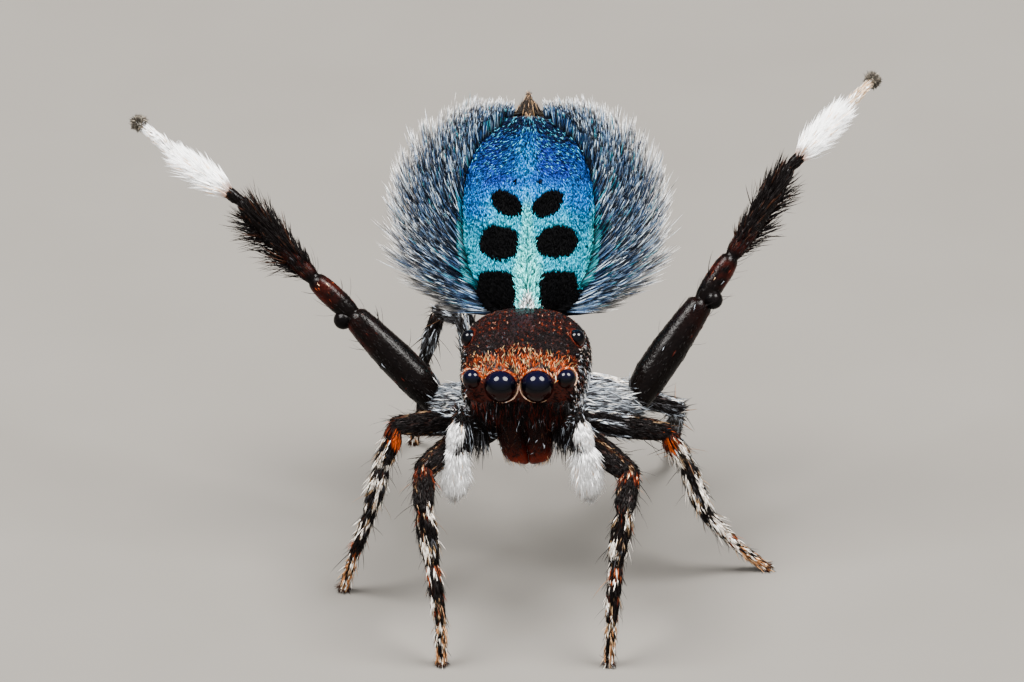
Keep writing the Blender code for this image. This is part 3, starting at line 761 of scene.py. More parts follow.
def add_rim(rims, kind, centre, radius, sign):
    """Hairs that lie round an eye where it leaves the skin."""
    draw = rims.draw
    axis = unit(np.array(OUTLOOKS[kind]) * (sign, 1, 1))
    count = int(RIM_HAIRS_A_MILLIMETRE * radius)
    turn = draw.uniform(0, 2 * math.pi, count)
    right = unit(np.cross(axis, UP))
    up = np.cross(right, axis)
    radial = np.cos(turn)[:, None] * right + np.sin(turn)[:, None] * up
    tangent = -np.sin(turn)[:, None] * right + np.cos(turn)[:, None] * up
    tangent *= np.sign(-radial[:, :1] * sign + 1e-6)
    setback = 0.06 if kind == "eye_front_middle" else 0.12
    reach = radius * math.sqrt(1 - setback ** 2) + 0.009
    ring = centre + axis * radius * setback + radial * reach
    over = ease(-0.1, 0.5, radial[:, 2])
    lower = pick(draw, count, ((0.5, CREAM), (0.4, ROSE), (0.1, WHITE)))
    tints = blend(lower, pick(draw, count, ((0.50, ORANGE), (0.40, RUST), (0.10, CREAM))), over)
    if kind == "eye_rear":
        tints = pick(draw, count, ((0.5, RED_BROWN), (0.2, RUST), (0.3, BLACK)))
    roots = loose_roots(ring, turn / (2 * math.pi), 0.5, unit(axis + radial * 0.5))
    way = unit(tangent + radial * (0.15 + 0.5 * over[:, None]))
    rims.grow(roots, way, shaded(tints, 0.7), 0.050, 0.0075, lift=6.0, spread=6.0, shape=SCALE,
              matrix=HEAD)


def chelicera_skin(sign):
    """Jaw whose flat inner side stays by its twin's while its outer side rounds in below."""
    stations = (
        (0.0, 0.92, 0.86),
        (0.25, 1.0, 1.0),
        (0.6, 1.0, 1.0),
        (0.80, 0.93, 0.88),
        (0.92, 0.76, 0.68),
        (1.0, 0.36, 0.30),
    )
    rings = []
    across, back = closed_curve(JAW_SIDES, 2.4)
    for drop, wide, deep in smooth_stations(stations, 6):
        half_width = (CHELICERA_WIDTH * wide + GAP / 2) / 2 - JAW_INSET
        side_place = CHELICERA_LEAN * drop + sign * (JAW_INSET + half_width)
        rings.append(places(
            side_place + half_width * across,
            CHELICERA_FRONT + CHELICERA_DEPTH / 2 * deep * back,
            CHELICERA_HIGH - CHELICERA_LENGTH * drop,
        ))
    for share, drop in ((0.85, 0.008), (0.55, 0.018), (0.2, 0.022)):
        rings.append(shrunk(rings[-1], share, up=-drop / 2))
    return Skin(rings)


def add_chelicerae():
    """Two glossy jaws with a few bristles on their front and pale hairs under them."""

    def tint(points, normals, marks):
        glow = ease(0.30, 0.75, marks) * (0.6 + 0.4 * mottle(points, 0.3, 8))
        return blend((0.0045, 0.0010, 0.0008), (0.078, 0.0075, 0.0025), glow)

    def front(points, normals, marks):
        return np.clip(-normals[..., 1], 0, 1) * ease(0.62, 0.35, marks) + 1e-6

    for side, sign in SIDES.items():
        skin = chelicera_skin(sign)
        piece = skin.add(f"skin_chelicera_{side}", FINISHES["gloss"], "face", tint, HEAD)
        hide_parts(f"chelicera_{side}")

        def outer(points, normals, marks):
            return ease(0.5, 0.8, marks) * np.clip(normals[..., 0] * sign, 0.02, 1)

        coat = Coat(f"chelicera {side}")
        coat.cover(skin, HAIRS["jaw front"], ((0.80, BLACK), (0.14, BROWN), (0.06, SILVER)), 0.07,
                   0.008, front, way=(0.0, -0.2, -1.0), lift=22.0, spread=35.0, matrix=HEAD)
        coat.cover(skin, HAIRS["jaw side"], ((0.4, BEIGE), (0.6, GREY)), 0.13, 0.0055, outer,
                   way=(0.0, 0.1, -1.0), lift=28.0, spread=14.0, shape=BRISTLE, matrix=HEAD)
        coat.add(f"coat_chelicera_{side}", FINISHES["hair"], "face")


def plate_half_width(share):
    """Half the plate's width at a share of its length."""
    left = 1.0 - np.abs(2.0 * share - 1.0) ** PLATE_ROUNDNESS
    return PLATE_HALF_WIDTH * left ** (1.0 / PLATE_ROUNDNESS)


def rim_share(lean):
    """Share of the plate's length at a turn round its rim, given by the turn's sine."""
    return 0.5 + 0.5 * np.sign(lean) * np.abs(lean) ** (2 / PLATE_ROUNDNESS)


def towards_edge(x, z):
    """Share of the way out from the plate's middle to its rim."""
    height = np.clip(z / PLATE_LENGTH, 0.03, 0.97)
    return np.abs(x) / np.maximum(plate_half_width(height), 0.1)


# Spots of the plate: sides, out from its midline, up from its foot, half width, half height,
# tilt with the inner end down, boxiness
SPOTS = (
    ((-1, 1), 0.236, 1.382, 0.204, 0.136, 38.0, 2.2),
    ((-1,), 0.325, 0.912, 0.220, 0.206, 8.0, 2.8),
    ((1,), 0.345, 0.920, 0.250, 0.200, 6.0, 2.1),
    ((-1, 1), 0.366, 0.300, 0.222, 0.267, 0.0, 4.5),
    ((-1, 1), 0.144, 1.642, 0.034, 0.032, 0.0, 2.0),
)
PLATE_MIDLINE = -0.014


def in_spots(x, z, ragged):
    """Depth inside the nearest spot: above 0 inside it, below 0 outside."""
    deepest = np.full(np.shape(x), -9.0)
    for sides, out, up, wide, high, tilt, square in SPOTS:
        for sign in sides:
            turn = math.radians(tilt * sign)
            across, rise = x - PLATE_MIDLINE - sign * out, z - up
            along = across * math.cos(turn) + rise * math.sin(turn)
            over = rise * math.cos(turn) - across * math.sin(turn)
            size = (np.abs(along / wide) ** square + np.abs(over / high) ** square) ** (1 / square)
            deepest = np.maximum(deepest, (1.0 - size) * min(wide, high) + ragged)
    return deepest


def plate_colour(x, z):
    """Mean colour of the plate at places across and up it, without its spots."""
    points = places(x, z, 0.0)
    height = z / PLATE_LENGTH
    middle = np.abs(x - PLATE_MIDLINE)
    edge = towards_edge(middle, z)
    wave = (mottle(points, 0.35, 21) - 0.5) * 0.06
    tint = blend(TURQUOISE, AZURE, ease(0.50, 0.66, height + wave + 0.10 * edge))
    tint = blend(tint, ROYAL, ease(0.66, 0.78, height + wave + 0.08 * edge) * 0.92)
    band = ease(0.52, 0.68, edge) * ease(0.98, 0.90, edge) * ease(0.30, 0.50, height)
    tint = blend(tint, ROYAL, band * 0.6)
    patches = ease(0.45, 0.70, mottle(points, 0.55, 24))
    violet = patches * ease(0.58, 0.68, height) * ease(0.95, 0.85, height)
    tint = blend(tint, VIOLET, violet * 0.6)
    streak = ease(0.20, 0.04, middle) * ease(0.68, 0.74, height) * ease(0.90, 0.82, height)
    tint = blend(tint, STREAK_BLUE, streak * 0.45)
    tint = blend(tint, NAVY, ease(0.84, 0.98, height + wave + 0.06 * edge))
    rim = ease(0.86, 0.95, edge) * ease(0.66, 0.40, height) * ease(0.10, 0.16, height)
    tint = blend(tint, RIM_TEAL, rim * 0.7)
    stripe = 0.050 + 0.10 * ease(0.50, 0.20, height)
    pale = ease(1.6, 0.3, middle / stripe) * ease(0.66, 0.50, height)
    tint = blend(tint, MINT, pale * (0.55 + 0.45 * ease(0.45, 0.20, height)))
    foot = ease(0.11, 0.05, middle + 0.5 * height) * ease(0.13, 0.08, height)
    return blend(tint, FOOT_WHITE, foot)


def abdomen_skin():
    """Abdomen in its own frame: a flat front, which is its back, and a round belly behind."""
    rings = []
    across, back = closed_curve(PLATE_SIDES, 2)
    for share in 0.5 - 0.5 * np.cos(np.radians(np.linspace(12, 168, PLATE_RINGS))):
        half_width = plate_half_width(share) - PLATE_INSET
        depth = ABDOMEN_DEPTH * (half_width / PLATE_HALF_WIDTH) ** 0.8
        reach = np.where(back > 0, depth, FRONT_BULGE * depth)
        rings.append(places(half_width * across, reach * back, PLATE_LENGTH * share))
    return Skin(rings)


def add_abdomen():
    """Abdomen's skin with the plate's blue scales, velvet spots and rim, and the belly's fur."""
    skin = abdomen_skin()

    def tint(points, normals, marks):
        x, y, z = points.T
        front = ease(0.06, -0.02, y)
        belly = blend((0.10, 0.085, 0.07), (0.05, 0.04, 0.035), mottle(points, 0.5, 31))
        colour = blend(belly, plate_colour(x, z) * 0.35, front)
        return blend(colour, VELVET, front * ease(-0.01, 0.01, in_spots(x, z, 0.0)))

    piece = skin.add("skin_abdomen", FINISHES["plate"], "plate", tint, ABDOMEN)
    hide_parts("abdomen")

    def front_side(points, normals, marks):
        return ease(0.22, 0.06, points[..., 1])

    coat, spots = Coat("plate"), Coat("spots")
    grow_plate_scales(coat, skin.roots(HAIRS["plate"], coat.draw, front_side), False)
    grow_plate_scales(spots, skin.roots(HAIRS["spots"], spots.draw, front_side), True)
    grow_corners(spots)
    coat.add("coat_plate", FINISHES["scales"], "plate")
    spots.add("coat_spots", FINISHES["velvet"], "plate")
    rim = Coat("rim")
    grow_rim(rim)
    rim.add("coat_rim", FINISHES["fringe_hair"], "plate")
    add_foot_tuft()
    add_belly_coat(skin)


def chosen_roots(roots, chosen):
    """The roots that a mask picks out."""
    return SimpleNamespace(**{name: values[chosen] for name, values in vars(roots).items()})


def sweep(aim, sign, facing):
    """Directions that rise outwards by the aim, in degrees, with the depth that facing gives."""
    aim = np.radians(aim)
    return places(sign * np.cos(aim), facing, np.sin(aim))


def grow_plate_scales(coat, roots, in_spot):
    """Narrow scales that run up the plate and out to its rim: blue, or velvet ones in spots."""
    draw, count = coat.draw, len(roots.place)
    x, _, z = roots.place.T
    fan = places(np.sign(x - PLATE_MIDLINE) * 0.55 * ease(1.6, 0.8, z), 0.0, 1.0)
    way = unit(roots.along + fan * ease(0.45, 0.05, np.abs(x))[:, None])
    inwards = places(-1.2 * np.sign(x) * ease(0.0, 0.35, np.abs(x)), 0.0, 0.45)
    way = unit(blend(way, unit(inwards), 0.8 * ease(1.35, 1.9, z)))
    edge = ease(0.82, 0.98, towards_edge(x, z))
    outward = sweep(np.interp(z, FAN_HEIGHTS, FAN_AIMS), np.sign(x), -0.1)
    way = unit(blend(way, outward, edge * 0.9))
    pale = ease(0.18, 0.06, np.abs(x - PLATE_MIDLINE)) * ease(1.3, 0.4, z)
    length = 0.054 + 0.045 * pale + 0.045 * edge + (0.010 if in_spot else 0.0)
    ahead = length * 0.65
    ragged = draw.normal(0, 0.005, count)
    depth = in_spots(x + way[:, 0] * ahead, z + way[:, 2] * ahead, ragged)
    kept = (depth > 0) == in_spot
    roots, way, length, pale = chosen_roots(roots, kept), way[kept], length[kept], pale[kept]
    x, z, edge, count = x[kept], z[kept], edge[kept], int(kept.sum())
    if in_spot:
        tints = np.broadcast_to(VELVET, (count, 3))
    else:
        high = ease(1.5, 2.1, z)
        tints = plate_colour(x, z) * np.exp(draw.normal(0, 0.30, count))[:, None]
        tints[draw.random(count) < 0.06 + 0.36 * high + 0.25 * edge + 0.10 * pale] *= 0.12
        glint = draw.random(count) < 0.03 + 0.12 * high + 0.10 * pale
        tints[glint] = blend(tints[glint] * 1.3, GLINT_CYAN, 0.45)
    stops = ((0.0, tints * 0.12), (0.45, tints), (1.0, np.minimum(tints * 1.2, 0.95)))
    coat.grow(roots, way, stops, length, 0.0110, lift=16.0, spread=12.0, shape=SCALE, matrix=ABDOMEN)


def grow_corners(coat):
    """Velvet hair that squares off the lowest spots past the plate's rounded foot."""
    draw, count = coat.draw, HAIRS["corners"]
    sign = draw.choice((-1.0, 1.0), count)
    share = draw.uniform(0.012, 0.135, count)
    x = sign * plate_half_width(share) * draw.uniform(0.90, 0.99, count)
    roots = loose_roots(places(x, -0.035, PLATE_LENGTH * share), 0.5 + 0.5 * x, share)
    length = 0.032 + 0.072 * ease(0.12, 0.04, share)
    coat.grow(roots, unit(places(sign, -0.10, -0.12)), shaded(VELVET), length, 0.016, spread=8.0,
              curl=0.0, lie_flat=False, matrix=ABDOMEN)


def grow_rim(coat):
    """Hair on the plate's edge that leads over to the fans, dark with blue and cyan glints."""
    draw, count = coat.draw, HAIRS["rim"]
    sign = draw.choice((-1.0, 1.0), count)
    share = rim_share(np.sin(np.radians(draw.uniform(-42, 72, count))))
    inside = 1.0 - 0.05 * draw.random(count)
    x = sign * plate_half_width(share) * inside
    z = PLATE_LENGTH * (0.5 + (share - 0.5) * inside)
    y = -FRONT_BULGE * ABDOMEN_DEPTH * np.sqrt(1.0 - inside ** 2) - 0.012
    roots = loose_roots(places(x, y, z), 0.5 + 0.5 * x, z / PLATE_LENGTH)
    aim = np.interp(z, FAN_HEIGHTS, FAN_AIMS) + draw.normal(0, 6.0, count)
    way = unit(sweep(aim, sign, 0.10))
    glint = pick(draw, count, (
        (0.54, (0.004, 0.008, 0.016)), (0.24, (0.01, 0.05, 0.16)), (0.06, (0.02, 0.22, 0.28)),
        (0.16, (0.30, 0.46, 0.62))
    ))
    like_plate = draw.random(count) < 0.5 * ease(1.7, 1.1, z)
    glint[like_plate] = plate_colour(x, z)[like_plate]
    stops = ((0.0, glint * 0.1), (0.4, glint * 0.4), (0.65, glint), (1.0, glint * 0.2))
    coat.grow(roots, way, stops, 0.20, 0.0115, spread=3.0, curl=0.0, lie_flat=False,
              shape=LONG_HAIR, matrix=ABDOMEN)


def add_foot_tuft():
    """Pale hairs that hang off the plate's foot over the head."""
    coat = Coat("foot tuft")
    draw, count = coat.draw, HAIRS["foot tuft"]
    x = PLATE_MIDLINE + draw.normal(0, 0.05, count)
    z = draw.uniform(0.05, 0.30, count)
    roots = loose_roots(places(x, -0.055, z), 0.5 + x, z)
    tints = pick(draw, count, ((0.5, WHITE), (0.3, MINT), (0.2, SILVER)))
    coat.grow(roots, unit(places((x - PLATE_MIDLINE) * 4, -0.1, -1.0)), shaded(tints, 0.6), 0.13,
              0.010, lift=14.0, spread=14.0, shape=LONG_HAIR, matrix=ABDOMEN)
    coat.add("coat_foot_tuft", FINISHES["white_hair"], "plate")


def add_belly_coat(skin):
    """Grey-brown fur behind, darker towards the spinnerets."""

    def behind(points, normals, marks):
        return ease(0.0, 0.12, points[..., 1])

    coat = Coat("belly")
    draw, count = coat.draw, HAIRS["belly"]
    roots = skin.roots(count, draw, behind)
    tints = pick(draw, count, (
        (0.34, (0.30, 0.26, 0.20)), (0.26, (0.12, 0.09, 0.06)), (0.22, BEIGE), (0.18, SILVER)
    ))
    tints = tints * (1.0 - 0.92 * ease(2.0, 2.25, roots.place[:, 2]))[:, None]
    coat.grow(roots, roots.along, shaded(tints, 0.5), 0.14, 0.018, lift=15.0, spread=14.0,
              matrix=ABDOMEN)
    coat.add("coat_belly", FINISHES["hair"], "plate")


def flap_points(turn, across, sign):
    """Places on the flap's middle surface, at shares of its width from the plate's edge."""
    lean = np.sin(np.radians(turn))
    share = rim_share(lean)
    outward = np.interp(turn, FRINGE_TURNS, FLAP_WIDTHS) * across
    side = plate_half_width(share) + GAP + outward * np.cos(np.radians(turn))
    return places(sign * side, FLAP_SETBACK, PLATE_LENGTH * share + outward * lean)


def add_fringe(side, sign):
    """Fan of one side: a thin flap, then hair over both its faces that sweeps out and up."""
    turns = np.linspace(FRINGE_TURNS[0], FRINGE_TURNS[-1], 80)
    section = ((0.0, 0.035), (0.5, 0.03), (1.0, 0.012), (1.0, -0.012), (0.5, -0.03), (0.0, -0.035))
    lines = []
    for across, deep in section:
        lines.append(flap_points(turns, across, sign) + (0.0, deep, 0.0))
    flap = Skin(np.stack(lines, 1))
    tint = plain((0.02, 0.028, 0.045))
    piece = flap.add(f"skin_flap_{side}", FINISHES["flesh"], "fringe", tint, ABDOMEN)
    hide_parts(f"fringe_{side}")
    for facing, name in ((-1, "front"), (1, "back")):
        coat = Coat(f"fringe {side} {name}")
        grow_fringe(coat, sign, facing, HAIRS[f"fan {name}"])
        coat.add(f"coat_fringe_{side}_{name}", FINISHES["fringe_hair"], "fringe")


def stream_of(out, height):
    """Turn at the plate's edge of the stream of hair that runs through places on a fan."""
    heights = np.linspace(0.0, FAN_HEIGHTS[-1], 400)
    slopes = 1.0 / np.tan(np.radians(np.interp(heights, FAN_HEIGHTS, FAN_AIMS)))
    steps = (slopes[1:] + slopes[:-1]) / 2 * np.diff(heights)
    drift = np.concatenate(((0.0,), np.cumsum(steps)))
    turns = np.linspace(-89.0, 85.0, 400)
    edge = flap_points(turns, 0.0, 1)
    starts = np.maximum.accumulate(-(edge[:, 0] - np.interp(edge[:, 2], heights, drift)))
    return np.interp(np.interp(height, heights, drift) - out, starts, turns)


def grow_fringe(coat, sign, facing, count):
    """Hairs of one face of a fan: black at the root, a blue glint in the middle, a pale tip."""
    draw = coat.draw
    turn = draw.uniform(FRINGE_TURNS[0] - 3, FRINGE_TURNS[-1] + 2, count)
    across = draw.uniform(-0.12, 1.0, count)
    width = np.interp(turn, FRINGE_TURNS, FLAP_WIDTHS)
    keep = draw.random(count) < 0.30 + 0.70 * width / max(FLAP_WIDTHS)
    turn, across = turn[keep], across[keep]
    count = len(turn)
    place = flap_points(turn, across, sign)
    place[:, 1] += facing * (0.030 - 0.018 * across)
    edge = ease(0.45, 1.0, across)
    stream = stream_of(sign * place[:, 0], place[:, 2])
    bundle = stream / TUFT_TURN + 0.4 * np.sin(stream * 0.9)
    tuft = np.round(bundle)
    strand = mottle(places(stream, 0.5 * across, 0.0), 0.8, 23)
    aim = np.interp(place[:, 2], FAN_HEIGHTS, FAN_AIMS) - 4.0 - 18.0 * (bundle - tuft) * edge
    aim = aim + 4.0 * np.sin(tuft * 2.3) * edge + draw.normal(0, 4.5 - 2.0 * edge, count)
    tilt = np.radians((20.0 - 20.0 * edge) + draw.normal(0, 5.0, count))
    way = unit(sweep(aim, sign, facing * np.sin(tilt)))
    length = np.interp(turn, FRINGE_TURNS, FRINGE_LENGTHS) * (0.84 + 0.26 * edge)
    length *= 1.0 + 0.09 * edge * np.sin(tuft * 4.1)
    silver = ease(0.50, 0.95, across + draw.normal(0, 0.10, count))
    glint = pick(draw, count, (
        (0.54, (0.004, 0.007, 0.014)), (0.19, (0.02, 0.05, 0.12)), (0.03, (0.02, 0.22, 0.30)),
        (0.14, (0.12, 0.21, 0.35)), (0.10, (0.55, 0.66, 0.76))
    ), strand)
    bright = np.array((0.80, 0.77, 0.72)) * draw.uniform(0.05, 1.0, (count, 1))
    tip = blend(glint * 0.08, bright, silver)
    if facing > 0:
        glint = pick(draw, count, ((0.5, GREY), (0.3, SILVER), (0.2, BLACK)))
        tip = blend(glint, WHITE, 0.6 * silver)
    inward = sweep(aim + 90.0, sign, 0.0)
    roots = loose_roots(place, (turn + 70) / 160, (across + 0.12) / 1.12, inward)
    middle = blend(glint, tip, 0.5 * silver)
    stops = ((0.0, (0.001, 0.002, 0.005)), (0.22, glint * 0.2), (0.42, glint), (0.80, middle), (1.0, tip))
    coat.grow(roots, way, stops, length, 0.0120 - 0.0025 * edge, spread=1.5, curl=0.12, roll=40.0,
              flatness=1.1, shape=FAN_HAIR if facing < 0 else HAIR, lie_flat=False, vary=0.11,
              matrix=ABDOMEN)


def heading(turn, rise):
    """Direction turned from +X towards +Y and raised from the floor, both in degrees."""
    turn, rise = math.radians(turn), math.radians(rise)
    flat = math.cos(rise)
    return np.array((flat * math.cos(turn), flat * math.sin(turn), math.sin(rise)))


def in_head(x, y, z):
    """Place in the part's frame of one in the head's frame."""
    return np.array(HEAD @ Vector((x, y, z)))


def leg_joints(number, side):
    """Ends of a leg's stretches, from its root in the thorax to the tip of its foot."""
    sign = SIDES[side]
    out, place, height = TROCHANTERS[number]
    out += EXTRA_REACH.get((number, side), 0.0)
    joint = in_head(sign * out, place, height)
    joints = [in_head(sign * COXA_ROOT, place * 0.85, height + 0.04), joint]
    for length, (turn, rise) in zip(LENGTHS[number], POSES[number, side]):
        if rise is None:
            rise = -math.degrees(math.asin(joint[2] / length))
        joint = joint + heading(turn, rise) * length
        joints.append(joint)
    return np.array(joints)


def limb_skin(joints, half_widths, profiles, inset):
    """One skin over all stretches of a limb, drawn in a little at each joint."""
    ways = unit(np.diff(joints, axis=0))
    up = UP
    rings, marks = [], []
    angles = 2 * math.pi * np.arange(LIMB_SIDES) / LIMB_SIDES
    for index, way in enumerate(ways):
        up = unit(up - way * (up @ way))
        across = np.cross(way, up)
        circle = np.cos(angles)[:, None] * across + np.sin(angles)[:, None] * up
        length = np.linalg.norm(joints[index + 1] - joints[index])
        width = half_widths[index]
        last = index == len(ways) - 1
        count = max(3, round(length / LIMB_STEP))
        for place in np.arange(count + last) / count:
            radius = width * np.interp(place, *zip(*profiles[index])) - inset
            centre = joints[index] + way * (length * place)
            ends = []
            if index:
                ends.append((place * length, unit(ways[index - 1] + way)))
            if not last:
                ends.append(((1 - place) * length, unit(way + ways[index + 1])))
            for gap, _ in ends:
                radius *= 1 - 0.13 * math.exp(-(gap / 0.045) ** 2)
            ring = centre + circle * radius
            for gap, normal in ends:
                share = max(0.0, 1 - gap / (2.5 * width))
                ring += way * (share * ((centre - ring) @ normal) / (way @ normal))[:, None]
            rings.append(ring)
            marks.append(index + place)
    radius = np.linalg.norm(rings[-1][0] - joints[-1])
    for lean in np.radians((25, 50, 75)):
        centre = joints[-1] + way * (radius * 0.8 * math.sin(lean))
        rings.append(centre + circle * (radius * math.cos(lean)))
        marks.append(len(ways))
    return Skin(rings, marks)


# Hair of the walking legs: the mark where each band ends and the mixture it is made of
MIXES = {
    "dark": ((0.92, BLACK), (0.06, BROWN), (0.02, TAN)),
    "black": ((0.97, BLACK), (0.03, BROWN)),
    "white": ((0.42, BLACK), (0.10, GREY), (0.13, TAN), (0.35, PALE)),
    "streaked": ((0.60, BLACK), (0.08, RUST), (0.17, TAN), (0.15, PALE)),
    "orange": ((0.30, ORANGE), (0.40, BLACK), (0.26, RUST), (0.04, CREAM)),
    "rust": ((0.12, ORANGE), (0.46, BLACK), (0.36, RUST), (0.06, CREAM)),
    "rusty": ((0.60, BLACK), (0.20, (0.20, 0.045, 0.012)), (0.20, PALE)),
    "silver": ((0.56, BLACK), (0.26, GREY), (0.14, SILVER), (0.04, PALE)),
    "pale": ((0.12, BLACK), (0.26, GREY), (0.38, SILVER), (0.24, PALE)),
    "beige": ((0.26, (0.26, 0.11, 0.04)), (0.22, BEIGE), (0.18, PALE), (0.34, BLACK)),
    "grey": ((0.44, GREY), (0.20, SILVER), (0.36, BLACK)),
}
BANDS = {
    1: ((1.20, "silver"), (2.05, "dark"), (2.24, "rust"), (2.80, "dark"), (3.25, "streaked"),
        (3.46, "black"), (3.80, "white"), (4.02, "dark"), (4.28, "rusty"), (4.50, "black"),
        (5.0, "streaked"), (6.0, "beige")),
    2: ((1.40, "silver"), (2.02, "dark"), (2.34, "orange"), (2.90, "white"), (3.14, "black"),
        (3.82, "white"), (4.08, "black"), (4.62, "white"), (4.95, "rusty"), (6.0, "beige")),
    4: ((1.60, "pale"), (2.0, "silver"), (2.5, "grey"), (3.0, "silver"), (3.2, "black"), (3.8, "grey"),
        (4.05, "black"), (4.7, "silver"), (5.0, "dark"), (6.0, "beige")),
}


def banded(number, roots, draw):
    """Colours of leg hairs by their marks, in streaks and with ragged ends to each band."""
    count = len(roots.mark)
    ragged = roots.mark + draw.normal(0, 0.035, count)
    turn = roots.spread[:, 0] * 2 * math.pi
    streaks = mottle(places(np.cos(turn), np.sin(turn), 0.8 * roots.mark), 0.9, 17)
    ends, names = zip(*BANDS[number])
    band = np.minimum(np.searchsorted(ends, ragged), len(ends) - 1)
    tints = np.zeros((count, 3))
    for index, name in enumerate(names):
        chosen = band == index
        tints[chosen] = pick(draw, int(chosen.sum()), MIXES[name], streaks[chosen])
    return tints


def grow_claws(coat, joints, size, mix, count):
    """Dark tuft round the tip of a foot."""
    draw = coat.draw
    way = unit(joints[-1] - joints[-2])
    side = unit(np.cross(way, UP + (0.1, 0.0, 0.0)))
    up = np.cross(side, way)
    turn = draw.uniform(0, 2 * math.pi, count)
    radial = np.cos(turn)[:, None] * side + np.sin(turn)[:, None] * up
    inner = radial * size * draw.uniform(0.1, 0.5, (count, 1))
    roots = loose_roots(joints[-1] - way * 0.02 + inner, turn / (2 * math.pi), 0.99, radial)
    aim = unit(radial * draw.uniform(0.1, 1.6, (count, 1)) + way * 0.8)
    tints = pick(draw, count, mix)
    coat.grow(roots, aim, shaded(tints), size * 1.25, 0.010, spread=14.0, curl=-0.25, lie_flat=False)


def grow_foot_ball(coat, joints):
    """Round tuft of soft grey-brown hair that hides the claws of a raised foot."""
    draw, count = coat.draw, HAIRS["foot ball"]
    way = unit(draw.normal(size=(count, 3)))
    centre = joints[-1] + unit(joints[-1] - joints[-2]) * 0.015
    normal = unit(np.cross(way, (0.3, 0.5, 0.8)))
    roots = loose_roots(centre + way * 0.045, 0.5 + 0.2 * way[:, 0], 0.5 + 0.2 * way[:, 1], normal)
    tints = pick(draw, count, (
        (0.45, (0.020, 0.017, 0.013)), (0.35, (0.06, 0.05, 0.04)), (0.20, (0.16, 0.14, 0.11))
    ))
    coat.grow(roots, way, shaded(tints), 0.062, 0.015, spread=14.0, lie_flat=False)


def add_leg_skin(name, number, joints, inset, finish, slot, tint):
    """Skin of one leg in the place of its five solids."""
    widths = (HALF_WIDTHS[number][0],) + HALF_WIDTHS[number]
    skin = limb_skin(joints, widths, PROFILES, inset)
    piece = skin.add(f"skin_{name}", FINISHES[finish], slot, tint)
    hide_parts(*(f"{name}_{segment}" for segment in SEGMENTS))
    return skin


def add_walking_leg(number, side):
    """Leg with bands of dark, white, rust and beige hair."""
    joints = leg_joints(number, side)
    joints[-1] -= unit(joints[-1] - joints[-2]) * 0.045
    name = f"leg{number}_{side}"

    def tint(points, normals, marks):
        base = ease(1.6, 1.2, marks) if number == 4 else np.zeros(len(marks))
        colour = blend((0.012, 0.006, 0.005), (0.20, 0.21, 0.23), base)
        return colour * (0.6 + 0.8 * mottle(points, 0.16, 5))[:, None]

    def thinner_femur(points, normals, marks):
        return 1.0 - 0.35 * ease(1.25, 1.5, marks) * ease(2.0, 1.8, marks)

    skin = add_leg_skin(name, number, joints, LEG_INSET, "chitin", "leg", tint)
    coat = Coat(name)
    draw = coat.draw
    roots = skin.roots(HAIRS["walking leg"], draw, thinner_femur)
    tints = banded(number, roots, draw)
    stops = ((0.0, tints * 0.55), (0.5, tints), (1.0, tints))
    coat.grow(roots, roots.along, stops, 0.120, 0.0172, lift=13.0, spread=8.0, curl=-0.15)
    stray = skin.roots(HAIRS["stray"], draw, by_mark((1.1, 1.4)))
    tints = banded(number, stray, draw)
    coat.grow(stray, stray.along, shaded(tints), 0.17, 0.009, lift=30.0, spread=10.0, curl=-0.15,
              shape=LONG_HAIR)
    coat.cover(skin, HAIRS["bristles"], ((0.8, BLACK), (0.2, (0.16, 0.08, 0.04))), 0.28, 0.0095,
               by_mark((1.5, 2.0), (5.3, 5.0)), lift=52.0, spread=14.0, curl=-0.25, shape=BRISTLE)
    grow_claws(coat, joints, 0.075, ((0.8, BROWN), (0.2, GREY)), HAIRS["claws"])
    coat.add(f"coat_{name}", FINISHES["hair"], "leg")


# Round knob under the far end of each raised leg's femur, from that joint
KNOB_OFFSETS = {"left": (0.128, -0.03, 0.040), "right": (-0.114, -0.03, -0.045)}
KNOB_RADIUS = 0.112
# Share of white hairs on each raised foot, and how many hairs it has
PALE_FEET = {"right": (0.85, 900), "left": (0.10, 260)}


